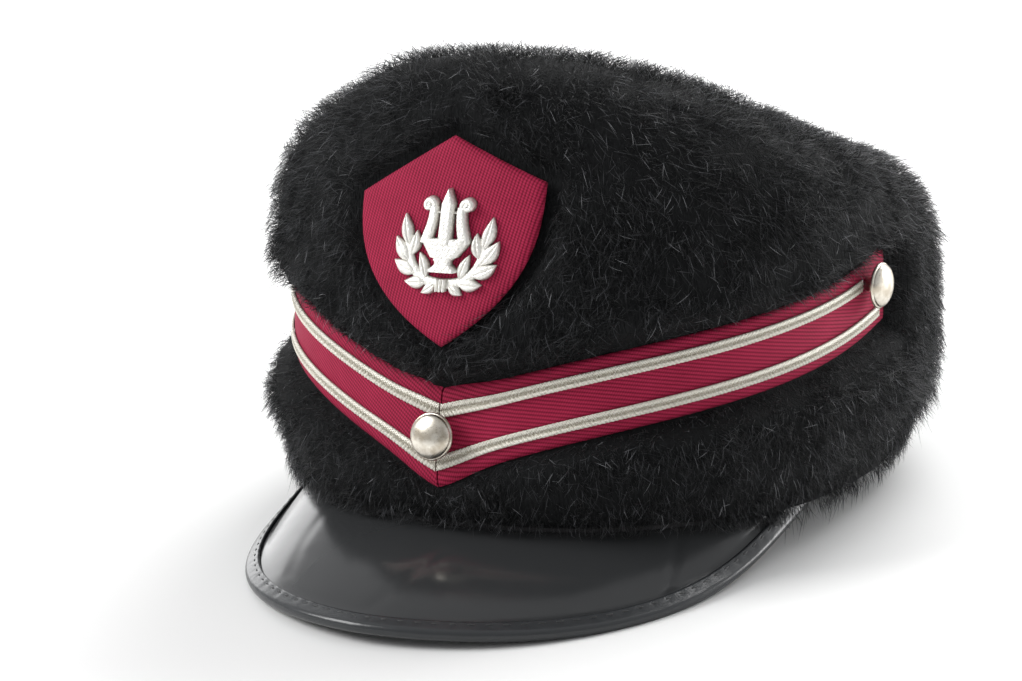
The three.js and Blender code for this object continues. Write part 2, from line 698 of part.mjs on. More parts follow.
function lowestTilted(solid) {
  const geometry = geometryOf(solid).applyMatrix4(tilt);
  geometry.computeBoundingBox();
  return geometry.boundingBox.min.z;
}

function flattened(solid, floor) {
  const block = new THREE.BoxGeometry(FLOOR_BLOCK, FLOOR_BLOCK, FLOOR_BLOCK);
  block.translate(0, 0, floor - FLOOR_BLOCK / 2).applyMatrix4(tilt.clone().invert());
  return solid.subtract(solidOf(block));
}

// Assembly
const hat = new THREE.Group();

function addPart(name, geometry, finish) {
  const mesh = new THREE.Mesh(geometry, new THREE.MeshStandardMaterial(FINISHES[finish]));
  mesh.name = name;
  hat.add(mesh);
  return mesh;
}

const wall = wallSolid();
const crownClear = crownBlock(CLEARANCE, SKIRT);
const binding = bindingSolid().subtract(crownClear);
const floor = Math.max(lowestTilted(wall), lowestTilted(binding)) + REST_FLAT;

addPart('crown_wall', geometryOf(flattened(wall, floor)), 'wall');
addPart('crown_fur', geometryOf(furSolid()), 'fur');
addPart('visor', geometryOf(visorSolid().subtract(crownClear)), 'patent');
addPart('visor_binding', geometryOf(flattened(binding, floor)), 'binding');
addPart('shield', geometryOf(shieldSheet(SHIELD_SEAT + CLEARANCE, SHIELD_FACE, 0)), 'twill');
addPart('badge', badgeGeometry(), 'badge');

for (const [name, side] of [['left', 1], ['right', -1]]) {
  addPart(`band_${name}`, bandGeometry(side), 'twill');
  addPart(`cord_upper_${name}`, cordGeometry(side, 1, CORD_ENDS.upper), 'braid');
  addPart(`cord_lower_${name}`, cordGeometry(side, -1, CORD_ENDS.lower), 'braid');
}
for (const { name, angle, rise } of BUTTON_PLACES) {
  placeButton(addPart(name, buttonGeometry(), 'nickel'), angle, rise);
}

// The resting hat stands on z = 0, with the middle of its outline at the origin
hat.rotation.x = -REST_TILT;
const rest = new THREE.Group();
rest.add(hat);
rest.updateMatrixWorld(true);
const box = new THREE.Box3().setFromObject(rest, true);
const centre = box.getCenter(new THREE.Vector3());
hat.position.set(0, -centre.y, -box.min.z);

export default rest;
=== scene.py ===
"""Marching band hat, dressed for a studio picture.

Deep black fur over a hollow cloth crown, a crimson twill band that meets in a V at the front, silver
braid, domed buttons, a twill shield with a cast lyre badge, and a patent visor with a sewn binding.
Sizes are millimetres in the hat's own frame: the wearer looks along -Y, and +X is the wearer's left.
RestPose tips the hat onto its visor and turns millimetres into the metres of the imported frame.
"""

import logging
import math
from collections.abc import Sequence
from dataclasses import dataclass, field
from enum import Enum
from typing import NamedTuple

import bpy
import numpy as np
from mathutils import Matrix, Vector


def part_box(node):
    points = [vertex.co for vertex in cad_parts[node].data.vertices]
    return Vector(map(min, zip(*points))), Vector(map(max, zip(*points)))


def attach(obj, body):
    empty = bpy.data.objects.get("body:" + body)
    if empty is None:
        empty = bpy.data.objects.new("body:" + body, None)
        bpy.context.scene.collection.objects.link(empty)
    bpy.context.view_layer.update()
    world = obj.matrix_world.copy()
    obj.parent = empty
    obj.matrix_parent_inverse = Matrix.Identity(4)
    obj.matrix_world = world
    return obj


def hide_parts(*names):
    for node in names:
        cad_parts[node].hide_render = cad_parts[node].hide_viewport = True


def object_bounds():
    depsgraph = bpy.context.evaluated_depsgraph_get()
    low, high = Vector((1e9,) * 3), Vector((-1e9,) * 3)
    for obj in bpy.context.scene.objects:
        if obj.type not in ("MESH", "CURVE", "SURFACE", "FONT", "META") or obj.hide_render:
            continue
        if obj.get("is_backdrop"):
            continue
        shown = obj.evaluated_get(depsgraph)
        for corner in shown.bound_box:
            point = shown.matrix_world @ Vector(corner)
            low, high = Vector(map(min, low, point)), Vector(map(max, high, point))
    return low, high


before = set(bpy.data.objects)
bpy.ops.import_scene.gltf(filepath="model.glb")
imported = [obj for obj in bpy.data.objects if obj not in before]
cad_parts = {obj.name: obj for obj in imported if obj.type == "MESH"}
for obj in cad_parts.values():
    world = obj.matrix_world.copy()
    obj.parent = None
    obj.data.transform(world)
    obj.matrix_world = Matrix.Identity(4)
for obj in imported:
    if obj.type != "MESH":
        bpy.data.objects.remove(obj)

LOG = logging.getLogger("band_hat")
Array = np.ndarray
Node = bpy.types.Node
Socket = bpy.types.NodeSocket

BODY = "root"
MM = 0.001
DEG = math.pi / 180
CLEARANCE = 0.3


class Side(Enum):
    """The wearer's two sides, with the sign of X on each."""

    LEFT = 1
    RIGHT = -1


class Row(Enum):
    """The two rows of braid on a band, with the sign of their offset from its middle."""

    UPPER = 1
    LOWER = -1


def smoothstep(value: Array, low: float, high: float) -> Array:
    """Rises from 0 at low to 1 at high as 3t^2 - 2t^3."""
    share = np.clip((value - low) / (high - low), 0.0, 1.0)
    return share * share * (3.0 - 2.0 * share)


def unit(vectors: Array) -> Array:
    """Each vector divided by its length."""
    return vectors / np.maximum(np.linalg.norm(vectors, axis=-1, keepdims=True), 1e-9)


def along(points: Array) -> Array:
    """Distance run along each line of points, whose steps are on the first axis."""
    steps = np.linalg.norm(np.diff(points, axis=0), axis=-1)
    return np.concatenate([np.zeros_like(steps[:1]), np.cumsum(steps, axis=0)])


def through(stations: Sequence[Sequence[float]], count: int) -> Array:
    """A smooth line through a few stations, by a Catmull-Rom cubic between each pair.

    Args:
        stations: the points that the line passes, of any dimension.
        count: how many points the line has.

    Returns:
        The line's points, evenly spread over the stations.
    """
    table = np.asarray(stations, float)
    return catmull_rom(table, np.linspace(0.0, 1.0, count))


def catmull_rom(table: Array, share: Array) -> Array:
    """The cubic through the table's rows, at shares from 0 to 1 of the way down it."""
    last = len(table) - 1
    place = np.clip(share, 0.0, 1.0) * last
    row = np.minimum(place.astype(int), last - 1)
    t = (place - row)[..., None]
    a, b, c, d = (table[np.clip(row + k, 0, last)] for k in (-1, 0, 1, 2))
    cubic = (3 * b - a - 3 * c + d) * t**3
    return 0.5 * (2 * b + (c - a) * t + (2 * a - 5 * b + 4 * c - d) * t**2 + cubic)


@dataclass
class Shell:
    """A surface held as whole arrays.

    points are millimetres, faces hold one array for each number of corners, and marks are values that
    the points carry, such as the chart of a cloth in millimetres along and across its strip.
    """

    points: Array
    faces: list[Array]
    marks: dict[str, Array] = field(default_factory=dict)

    @classmethod
    def tube(cls, rows: Array, **marks: Array) -> "Shell":
        """A closed profile carried through its steps, with a flat face on each end.

        Args:
            rows: points by step and by place round the profile.
            marks: values for the same points.

        Returns:
            The closed shell, with its faces turned outwards.
        """
        steps, count = rows.shape[:2]
        number = np.arange(steps * count).reshape(steps, count)
        following = np.roll(number, -1, axis=1)
        sides = np.stack([number[:-1], following[:-1], following[1:], number[1:]], -1)
        ends = [number[:1, ::-1], number[-1:]]
        flat = {name: mark.reshape(steps * count, -1) for name, mark in marks.items()}
        return cls(rows.reshape(-1, 3), [sides.reshape(-1, 4), *ends], flat).outward()

    @classmethod
    def rings(cls, rows: Array, first: Array, last: Array, **marks: Array) -> "Shell":
        """Closed rings of points, with a fan of triangles to a pole at either end.

        Args:
            rows: points by ring and by place round the ring.
            first: the pole before the first ring.
            last: the pole after the last ring.
            marks: values for the rings' points; a pole takes its ring's mean.

        Returns:
            The closed shell, with its faces turned outwards.
        """
        count, places = rows.shape[:2]
        number = np.arange(count * places).reshape(count, places)
        following = np.roll(number, -1, axis=1)
        sides = np.stack([number[:-1], following[:-1], following[1:], number[1:]], -1)
        low, high = (np.full(places, count * places + k) for k in (0, 1))
        fans = [np.stack([low, following[0], number[0]], -1), np.stack([high, number[-1], following[-1]], -1)]
        points = np.concatenate([rows.reshape(-1, 3), first[None], last[None]])
        flat = {}
        for name, mark in marks.items():
            table = mark.reshape(count, places, -1)
            poles = np.stack([table[0].mean(axis=0), table[-1].mean(axis=0)])
            flat[name] = np.concatenate([table.reshape(count * places, -1), poles])
        return cls(points, [sides.reshape(-1, 4), np.concatenate(fans)], flat).outward()

    @classmethod
    def joined(cls, shells: Sequence["Shell"]) -> "Shell":
        """All of the shells as one, with their points counted on."""
        starts = np.cumsum([0] + [len(shell.points) for shell in shells])
        faces = [part + start for shell, start in zip(shells, starts) for part in shell.faces]
        names = shells[0].marks
        marks = {name: np.concatenate([shell.marks[name] for shell in shells]) for name in names}
        return cls(np.concatenate([shell.points for shell in shells]), faces, marks)

    def outward(self) -> "Shell":
        """Turns every face round if the shell's signed volume is negative."""
        middle = self.points.mean(axis=0)
        volume = 0.0
        for part in self.faces:
            corner = self.points[part] - middle
            for k in range(1, part.shape[1] - 1):
                volume += np.einsum("ij,ij->", corner[:, 0], np.cross(corner[:, k], corner[:, k + 1]))
        if volume < 0:
            self.faces = [part[:, ::-1] for part in self.faces]
        return self

    def scattered(self, origins: Array, axes: Array) -> "Shell":
        """A copy of this shell at each origin, with its X, Y and Z along that place's three axes."""
        copies, count = len(origins), len(self.points)
        points = origins[:, None] + np.einsum("pk,ckj->cpj", self.points, axes)
        starts = np.arange(copies)[:, None, None] * count
        faces = [(part[None] + starts).reshape(-1, part.shape[1]) for part in self.faces]
        marks = {name: np.tile(mark, (copies, 1)) for name, mark in self.marks.items()}
        return Shell(points.reshape(-1, 3), faces, marks)


class CrownLevel(NamedTuple):
    """One level of the crown's wall: heights at front and back, and reach to the sides, front and back."""

    front_z: float
    back_z: float
    half_width: float
    front: float
    back: float


@dataclass(frozen=True)
class CrownForm:
    """The crown's outer face as a function of the angle from the front and the share u of the way up.

    Each level is a superellipse tipped from front to back, and a cubic joins the levels.
    """

    plan_power: float = 2.23
    crest: float = 0.62
    levels: tuple[CrownLevel, ...] = (
        CrownLevel(9, 0, 84, 103, 101),
        CrownLevel(23, 20, 89.5, 105, 105.5),
        CrownLevel(41, 36, 90, 101.5, 108),
        CrownLevel(67, 52, 90.5, 97, 108),
        CrownLevel(94, 67, 90, 91, 103),
        CrownLevel(114, 76, 84, 85, 96),
        CrownLevel(128, 78, 66, 79, 83),
        CrownLevel(132.5, 84, 50, 67, 66),
        CrownLevel(124, 99, 27, 32, 35),
        CrownLevel(112.5, 112.5, 0, 0, 0),
    )

    def bent(self, value: Array) -> Array:
        """A cosine or sine bent to the superellipse: its sign times its size to the power 2/n."""
        return np.sign(value) * np.abs(value) ** (2.0 / self.plan_power)

    def wall(self, angle: Array, u: Array) -> Array:
        """The wall's outer face: half width by bent sine, reach by bent cosine, height by the same cosine."""
        rows = catmull_rom(np.array(self.levels), np.asarray(u, float))
        front_z, back_z, half_width, front, back = np.moveaxis(rows, -1, 0)
        cosine, sine = self.bent(np.cos(angle)), self.bent(np.sin(angle))
        y = -cosine * np.where(cosine > 0, front, back)
        z = (front_z + back_z) / 2 + (front_z - back_z) / 2 * cosine
        return np.stack(np.broadcast_arrays(half_width * sine, y, z), -1)

    def slopes(self, angle: Array, u: Array, step: float = 2e-3) -> tuple[Array, Array]:
        """How fast the wall's point moves round the crown, per radian, and up it, per unit of u."""
        low, high = np.maximum(u - step, 0.0), np.minimum(u + step, 1.0)
        around = (self.wall(angle + step, u) - self.wall(angle - step, u)) / (2 * step)
        upward = (self.wall(angle, high) - self.wall(angle, low)) / (high - low)[..., None]
        return around, upward

    def normal(self, angle: Array, u: Array) -> Array:
        """The unit vector out of the wall."""
        around, upward = self.slopes(angle, u)
        return unit(np.cross(around, upward))

    def point(self, angle: Array, u: Array, out: Array | float) -> Array:
        """A point at a distance out of the wall."""
        angle, u, out = np.broadcast_arrays(angle, u, np.asarray(out, float))
        return self.wall(angle, u) + self.normal(angle, u) * out[..., None]

    def top(self, out: float) -> Array:
        """The point over the middle of the crown's dished top."""
        ring = np.array(0.99)
        slope = self.wall(np.array(0.0), ring) - self.wall(np.array(math.pi), ring)
        normal = unit(np.cross([1.0, 0.0, 0.0], slope))
        return self.wall(np.array(0.0), np.array(1.0)) + out * normal * np.sign(normal[2])

    def level_of_height(self, angle: Array, z: Array) -> Array:
        """The share u at which a column of the wall reaches a height, by halving the interval 36 times."""
        angle, z = np.broadcast_arrays(np.asarray(angle, float), np.asarray(z, float))
        low, high = np.zeros(z.shape), np.full(z.shape, self.crest)
        for _ in range(36):
            middle = (low + high) / 2
            under = self.wall(angle, middle)[..., 2] < z
            low, high = np.where(under, middle, low), np.where(under, high, middle)
        return (low + high) / 2

    def front(self, x: Array, z: Array, out: Array | float) -> Array:
        """A point over the front of the crown, by its own X and height and its distance out of the wall.

        The wall's point below it is found in 8 steps, each of which moves that point against the miss.
        """
        wall_x, wall_z = np.array(x, float), np.array(z, float)
        for _ in range(8):
            rows = catmull_rom(np.array(self.levels), self.level_of_height(np.zeros_like(wall_z), wall_z))
            share = np.clip(np.abs(wall_x) / rows[..., 2], 0.0, 1.0)
            angle = np.sign(wall_x) * np.arcsin(share ** (self.plan_power / 2))
            found = self.point(angle, self.level_of_height(angle, wall_z), out)
            wall_x, wall_z = wall_x + x - found[..., 0], wall_z + z - found[..., 2]
        return found

    def scatter(self, rng: np.random.Generator, count: int) -> tuple[Array, Array]:
        """Random places spread evenly by area over the whole face.

        Args:
            rng: the seeded source of random numbers.
            count: how many places.

        Returns:
            Their angles and their shares u.
        """
        columns, rows = 180, 120
        angle = (np.arange(columns) + 0.5) / columns * 2 * math.pi - math.pi
        u = (np.arange(rows) + 0.5) / rows
        around, upward = self.slopes(*np.meshgrid(angle, u))
        area = np.linalg.norm(np.cross(around, upward), axis=-1).ravel()
        cell = np.searchsorted(np.cumsum(area) / area.sum(), rng.random(count))
        cell = np.minimum(cell, area.size - 1)
        spread = rng.random((2, count)) - 0.5
        turned = angle[cell % columns] + spread[0] * 2 * math.pi / columns
        return turned, u[cell // columns] + spread[1] / rows


@dataclass(frozen=True)
class RestPose:
    """The resting hat: tipped back about X onto its visor and rim, then moved onto the floor."""

    tilt: float
    shift: Array

    @classmethod
    def on_frame(cls, crown: CrownForm, tilt: float = 2.6 * DEG) -> "RestPose":
        """The pose that puts the crown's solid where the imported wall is.

        Args:
            crown: the crown's form.
            tilt: how far the hat tips back.

        Returns:
            The pose, with its shift matched to the wall's highest and rearmost points.
        """
        columns, rings, top_ring = 32, 10, 0.95
        angle = np.arange(columns) * 2 * math.pi / columns
        u = np.linspace(0.0, top_ring, rings)
        solid = cls(tilt, np.zeros(3)).place(crown.wall(*np.meshgrid(angle, u))) / MM
        highest = np.array(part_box("crown_wall")[1]) / MM
        reach = solid.reshape(-1, 3).max(axis=0)
        return cls(tilt, np.array([0.0, highest[1] - reach[1], highest[2] - reach[2]]))

    def place(self, points: Array) -> Array:
        """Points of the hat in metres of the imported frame."""
        x, y, z = np.moveaxis(points, -1, 0)
        cosine, sine = math.cos(self.tilt), math.sin(self.tilt)
        turned = np.stack([x, y * cosine + z * sine, z * cosine - y * sine], -1)
        return (turned + self.shift) * MM

    def home(self, points: Array) -> Array:
        """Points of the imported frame, in metres, back in the hat's own frame."""
        x, y, z = np.moveaxis(points / MM - self.shift, -1, 0)
        cosine, sine = math.cos(self.tilt), math.sin(self.tilt)
        return np.stack([x, y * cosine - z * sine, z * cosine + y * sine], -1)


@dataclass(frozen=True)
class Bench:
    """Puts finished shells into the scene as pieces that ride on the hat."""

    rest: RestPose

    def add(
        self,
        name: str,
        shell: Shell,
        material: bpy.types.Material,
        slot: str,
        replaces: Sequence[str] = (),
        sharp: float = 180.0,
    ) -> bpy.types.Object:
        """Makes one piece.

        Args:
            name: the piece's name.
            shell: its surface in millimetres. What lies below the floor is pressed flat onto it.
            material: its finish.
            slot: the record's material slot that the finish belongs to; not used.
            replaces: the CAD nodes that it stands for.
            sharp: the angle in degrees beyond which an edge shows as a crease.

        Returns:
            The new object.
        """
        points = self.rest.place(shell.points)
        points[:, 2] = np.maximum(points[:, 2], 0.0)
        sizes = np.concatenate([np.full(len(part), part.shape[1]) for part in shell.faces])
        corners = np.concatenate([part.ravel() for part in shell.faces])
        mesh = bpy.data.meshes.new(name)
        mesh.vertices.add(len(points))
        mesh.vertices.foreach_set("co", points.astype(np.float32).ravel())
        mesh.loops.add(len(corners))
        mesh.loops.foreach_set("vertex_index", corners.astype(np.int32))
        mesh.polygons.add(len(sizes))
        mesh.polygons.foreach_set("loop_start", (np.cumsum(sizes) - sizes).astype(np.int32))
        mesh.update(calc_edges=True)
        for mark, values in shell.marks.items():
            self.carry(mesh, mark, values)
        mesh.shade_smooth()
        if sharp < 180.0:
            mesh.set_sharp_from_angle(angle=sharp * DEG)
        mesh.materials.append(material)
        piece = bpy.data.objects.new(name, mesh)
        bpy.context.scene.collection.objects.link(piece)
        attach(piece, BODY)
        if replaces:
            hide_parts(*replaces)
        triangles = int((sizes - 2).sum())
        LOG.info("%s: %d triangles", name, triangles)
        return piece

    @staticmethod
    def carry(mesh: bpy.types.Mesh, name: str, values: Array) -> None:
        """Stores a mark on the mesh's points, one number or up to three for each point."""
        if values.shape[1] == 1:
            single = mesh.attributes.new(name, "FLOAT", "POINT")
            single.data.foreach_set("value", values.astype(np.float32).ravel())
            return
        padded = np.zeros((len(values), 3), np.float32)
        padded[:, : values.shape[1]] = values
        mesh.attributes.new(name, "FLOAT_VECTOR", "POINT").data.foreach_set("vector", padded.ravel())


def linear(hex_colour: str) -> tuple[float, float, float, float]:
    """An sRGB hex colour as the linear values that a shader takes."""
    parts = np.array([int(hex_colour[k : k + 2], 16) for k in (1, 3, 5)]) / 255
    values = np.where(parts <= 0.04045, parts / 12.92, ((parts + 0.055) / 1.055) ** 2.4)
    return (*(float(value) for value in values), 1.0)


def add_node(
    material: bpy.types.Material | bpy.types.World,
    kind: str,
    inputs: dict | None = None,
    **settings: object,
) -> Node:
    """Adds one node to a material.

    Args:
        material: the material whose tree takes the node.
        kind: the node's type, without Blender's prefix for shader nodes.
        inputs: for each socket, by name or number, a constant or the output that feeds it.
        settings: the node's own settings.

    Returns:
        The node.
    """
    node = material.node_tree.nodes.new("ShaderNode" + kind)
    for name, value in settings.items():
        setattr(node, name, value)
    feed(material, node, inputs or {})
    return node


def new_material(name: str) -> tuple[bpy.types.Material, Node]:
    """An empty node material and its Principled shader, already joined to the output."""
    material = bpy.data.materials.new(name)
    material.use_nodes = True
    return material, material.node_tree.nodes["Principled BSDF"]


def feed(material: bpy.types.Material | bpy.types.World, shader: Node, inputs: dict) -> None:
    """Sets the shader's sockets: a constant directly, an output by a link."""
    for name, value in inputs.items():
        if isinstance(value, Socket):
            material.node_tree.links.new(value, shader.inputs[name])
        else:
            shader.inputs[name].default_value = value


def ramp(node: Node, stops: Sequence[tuple[float, str]]) -> Socket:
    """Gives a colour ramp its stops, each a place and a hex colour, and returns its colour."""
    elements = node.color_ramp.elements
    while len(elements) < len(stops):
        elements.new(0.5)
    for element, (place, colour) in zip(elements, stops):
        element.position = place
        element.color = linear(colour)
    return node.outputs["Color"]


def wave_scale(spacing: float) -> float:
    """The scale at which a band wave repeats once in each spacing, its own period being pi/10."""
    return math.pi / 10 / spacing


@dataclass(frozen=True)
class FurFinish:
    """Modacrylic fur pile: fine fibres dyed charcoal black, with painted shade towards their roots and grey
    glints painted into the colour of some of them.
    """

    # Tone stops: root is painted shade, the shade deep in the pile; body is the fibres' own charcoal; grey is
    # partly the fibres' own grey and partly a painted glint; glint is a painted highlight.
    root: str = "#08090a"
    body: str = "#1a1b1c"
    grey: str = "#5c5d61"
    glint: str = "#c4c5c8"
    fibre_width: float = 0.35
    fibre_length: float = 2.4

    def strands(self) -> bpy.types.Material:
        """Fibres coloured by the tone that each one carries, from black to white, with painted shade at the
        roots and painted glints on the lightest, and a silky edge light.
        """
        material, shader = new_material("modacrylic_fibre")
        tone = add_node(material, "Attribute", attribute_name="tone")
        blend = add_node(material, "ValToRGB", {"Fac": tone.outputs["Fac"]})
        stops = [(0.0, self.root), (0.35, self.body), (0.7, self.grey), (1.0, self.glint)]
        feed(material, shader, {"Base Color": ramp(blend, stops), "Roughness": 0.42})
        feed(material, shader, {"Specular IOR Level": 0.24})
        feed(material, shader, {"Sheen Weight": 0.06, "Sheen Roughness": 0.4})
        return material

    def backing(self) -> bpy.types.Material:
        """The dense underfur between the fibres, near black as painted shade deep in the pile: soft streaks
        of the fibres' own width, longer than wide.
        """
        material, shader = new_material("modacrylic_underfur")
        place = add_node(material, "TexCoord")
        across, up = 0.5 / (self.fibre_width * MM), 0.5 / (self.fibre_length * MM)
        drawn = add_node(
            material, "Mapping", {"Vector": place.outputs["Object"], "Scale": (across, across, up)}
        )
        inputs = {"Vector": drawn.outputs[0], "Scale": 1.0, "Detail": 3.0, "Distortion": 0.8}
        streak = add_node(material, "TexNoise", inputs)
        blend = add_node(material, "ValToRGB", {"Fac": streak.outputs["Fac"]})
        relief = add_node(
            material, "Bump", {"Height": streak.outputs["Fac"], "Distance": 0.0012, "Strength": 0.8}
        )
        # Painted shade: the underfur takes the fibres' darkest colours, for the shade between the fibres,
        # streaked at random.
        colour = ramp(blend, [(0.32, self.root), (0.68, self.body)])
        feed(material, shader, {"Base Color": colour, "Roughness": 0.8, "Normal": relief.outputs["Normal"]})
        feed(material, shader, {"Specular IOR Level": 0.15})
        return material


@dataclass(frozen=True)
class TwillFinish:
    """Wool-blend twill: raised ribs of a deep crimson, with painted shade between them and a painted
    highlight on their tops, with a faint nap.
    """

    # groove is painted shade in the low parts of the weave and crest a painted highlight on its high parts;
    # yarn is the cloth's own crimson.
    groove: str = "#670a26"
    yarn: str = "#981a3b"
    crest: str = "#b83056"
    rib_spacing: float = 1.0
    thread_spacing: float = 0.72
    relief: float = 0.14

    def cloth(self, name: str, rib_angle: float) -> bpy.types.Material:
        """The cloth with its ribs at an angle in degrees to the strip that it is cut in.

        Args:
            name: the material's name.
            rib_angle: from the chart's length towards its width.

        Returns:
            The material.
        """
        material, shader = new_material(name)
        chart = add_node(material, "Attribute", attribute_name="chart")
        turn = (0.0, 0.0, -rib_angle * DEG)
        turned = add_node(material, "Mapping", {"Vector": chart.outputs["Vector"], "Rotation": turn})
        rib = add_node(
            material,
            "TexWave",
            {"Vector": turned.outputs[0], "Scale": wave_scale(self.rib_spacing), "Distortion": 0.5,
             "Detail": 2.0, "Detail Scale": 1.2},
            bands_direction="Y",
        )
        slant = add_node(material, "Mapping", {"Vector": turned.outputs[0], "Rotation": (0.0, 0.0, 12 * DEG)})
        thread = add_node(
            material,
            "TexWave",
            {"Vector": slant.outputs[0], "Scale": wave_scale(self.thread_spacing), "Distortion": 0.8,
             "Detail": 2.0, "Detail Scale": 2.0},
            bands_direction="X",
        )
        fade = add_node(
            material, "TexNoise", {"Vector": chart.outputs["Vector"], "Scale": 0.09, "Detail": 3.0}
        )
        broad = add_node(material, "Math", {0: rib.outputs["Fac"], 1: 0.5}, operation="POWER")
        lift = add_node(material, "Math", {0: broad.outputs[0], 1: 0.52}, operation="MULTIPLY")
        weave = add_node(
            material,
            "Math",
            {0: thread.outputs["Fac"], 1: 0.27, 2: lift.outputs[0]},
            operation="MULTIPLY_ADD",
        )
        tint = add_node(
            material,
            "Math",
            {0: fade.outputs["Fac"], 1: 0.22, 2: weave.outputs[0]},
            operation="MULTIPLY_ADD",
        )
        # The colour follows the weave's height as painted shade and painted highlight, and the fade noise
        # varies it at random.
        blend = add_node(material, "ValToRGB", {"Fac": tint.outputs[0]})
        colour = ramp(blend, [(0.3, self.groove), (0.62, self.yarn), (1.0, self.crest)])
        relief = add_node(
            material, "Bump", {"Height": weave.outputs[0], "Distance": self.relief * MM, "Strength": 0.9}
        )
        feed(material, shader, {"Base Color": colour, "Normal": relief.outputs["Normal"], "Roughness": 0.72})
        feed(material, shader, {"Sheen Weight": 0.06, "Sheen Roughness": 0.5})
        feed(material, shader, {"Sheen Tint": linear("#ff8fa8")})
        feed(material, shader, {"Specular IOR Level": 0.18})
        return material


@dataclass(frozen=True)
class BraidFinish:
    """Lamé braid: thread wound with flattened silver wire, with painted shade between the plaits and in its
    middle groove and a painted highlight on top.
    """

    # shade is painted shade and bright a painted highlight, which the plait mark picks; thread is the wire's
    # own silver.
    shade: str = "#77725f"
    thread: str = "#b3ad9e"
    bright: str = "#e9e5da"
    thread_spacing: float = 0.5

    def make(self) -> bpy.types.Material:
        """The braid, whose threads slant away from its middle groove on both sides."""
        material, shader = new_material("lame_braid")
        chart = add_node(material, "Attribute", attribute_name="chart")
        parts = add_node(material, "SeparateXYZ", {"Vector": chart.outputs["Vector"]})
        folded = add_node(material, "Math", {0: parts.outputs["Y"]}, operation="ABSOLUTE")
        mirrored = add_node(material, "CombineXYZ", {"X": parts.outputs["X"], "Y": folded.outputs[0]})
        slant = add_node(
            material, "Mapping", {"Vector": mirrored.outputs[0], "Rotation": (0.0, 0.0, -38 * DEG)}
        )
        thread = add_node(
            material,
            "TexWave",
            {"Vector": slant.outputs[0], "Scale": wave_scale(self.thread_spacing), "Distortion": 1.2,
             "Detail": 2.0},
            bands_direction="X",
        )
        fleck = add_node(
            material, "TexNoise", {"Vector": chart.outputs["Vector"], "Scale": 1.9, "Detail": 3.0}
        )
        plait = add_node(material, "Attribute", attribute_name="plait")
        body = add_node(
            material,
            "Math",
            {0: plait.outputs["Fac"], 1: 0.45, 2: fleck.outputs["Fac"]},
            operation="MULTIPLY_ADD",
        )
        light = add_node(
            material,
            "Math",
            {0: thread.outputs["Fac"], 1: 0.25, 2: body.outputs[0]},
            operation="MULTIPLY_ADD",
        )
        blend = add_node(material, "ValToRGB", {"Fac": light.outputs[0]})
        colour = ramp(blend, [(0.42, self.shade), (0.75, self.thread), (1.0, self.bright)])
        relief = add_node(
            material, "Bump", {"Height": thread.outputs["Fac"], "Distance": 0.00012, "Strength": 0.8}
        )
        feed(material, shader, {"Base Color": colour, "Metallic": 0.35, "Roughness": 0.42})
        feed(material, shader, {"Normal": relief.outputs["Normal"]})
        return material


@dataclass(frozen=True)
class NickelFinish:
    """Nickel-plated brass, stamped and polished: a soft mirror, dulled and warmed by handling."""

    plate: str = "#e4ded2"
    worn: str = "#bfb5a4"
    roughness: float = 0.27

    def make(self) -> bpy.types.Material:
        """The plate, with cloudy wear and fine scratches in its roughness."""
        material, shader = new_material("nickel_plate")
        place = add_node(material, "TexCoord")
        cloud = add_node(
            material, "TexNoise", {"Vector": place.outputs["Object"], "Scale": 260.0, "Detail": 4.0}
        )
        blend = add_node(material, "ValToRGB", {"Fac": cloud.outputs["Fac"]})
        colour = ramp(blend, [(0.38, self.worn), (0.58, self.plate)])
        scratch = add_node(
            material, "TexNoise", {"Vector": place.outputs["Object"], "Scale": 2600.0, "Detail": 3.0}
        )
        dull = add_node(
            material,
            "MapRange",
            {"Value": scratch.outputs["Fac"], 3: self.roughness * 0.7, 4: self.roughness * 1.6},
        )
        feed(material, shader, {"Base Color": colour, "Metallic": 1.0, "Roughness": dull.outputs[0]})
        return material


@dataclass(frozen=True)
class BadgeFinish:
    """Cast white metal, silver-plated and finely stippled, with a painted highlight on what stands out and
    painted shade grey in the hollows.
    """

    # hollow is painted shade and high a painted highlight; plate is the casting's own silver.
    hollow: str = "#76726a"
    plate: str = "#ccc9c1"
    high: str = "#efede7"

    def make(self) -> bpy.types.Material:
        """The casting, whose tone follows the relief that each point carries: painted shade low on each ridge
        and a painted highlight on its crest, with a random stipple.
        """
        material, shader = new_material("silvered_white_metal")
        place = add_node(material, "TexCoord")
        relief = add_node(material, "Attribute", attribute_name="relief")
        grit = add_node(
            material, "TexNoise", {"Vector": place.outputs["Object"], "Scale": 1500.0, "Detail": 3.0}
        )
        tone = add_node(
            material,
            "Math",
            {0: grit.outputs["Fac"], 1: 0.6, 2: relief.outputs["Fac"]},
            operation="MULTIPLY_ADD",
        )
        blend = add_node(material, "ValToRGB", {"Fac": tone.outputs[0]})
        colour = ramp(blend, [(0.3, self.hollow), (0.7, self.plate), (1.0, self.high)])
        stipple = add_node(
            material, "Bump", {"Height": grit.outputs["Fac"], "Distance": 0.0004, "Strength": 0.8}
        )
        feed(material, shader, {"Base Color": colour, "Metallic": 0.65, "Roughness": 0.4})
        feed(material, shader, {"Normal": stipple.outputs["Normal"]})
        return material


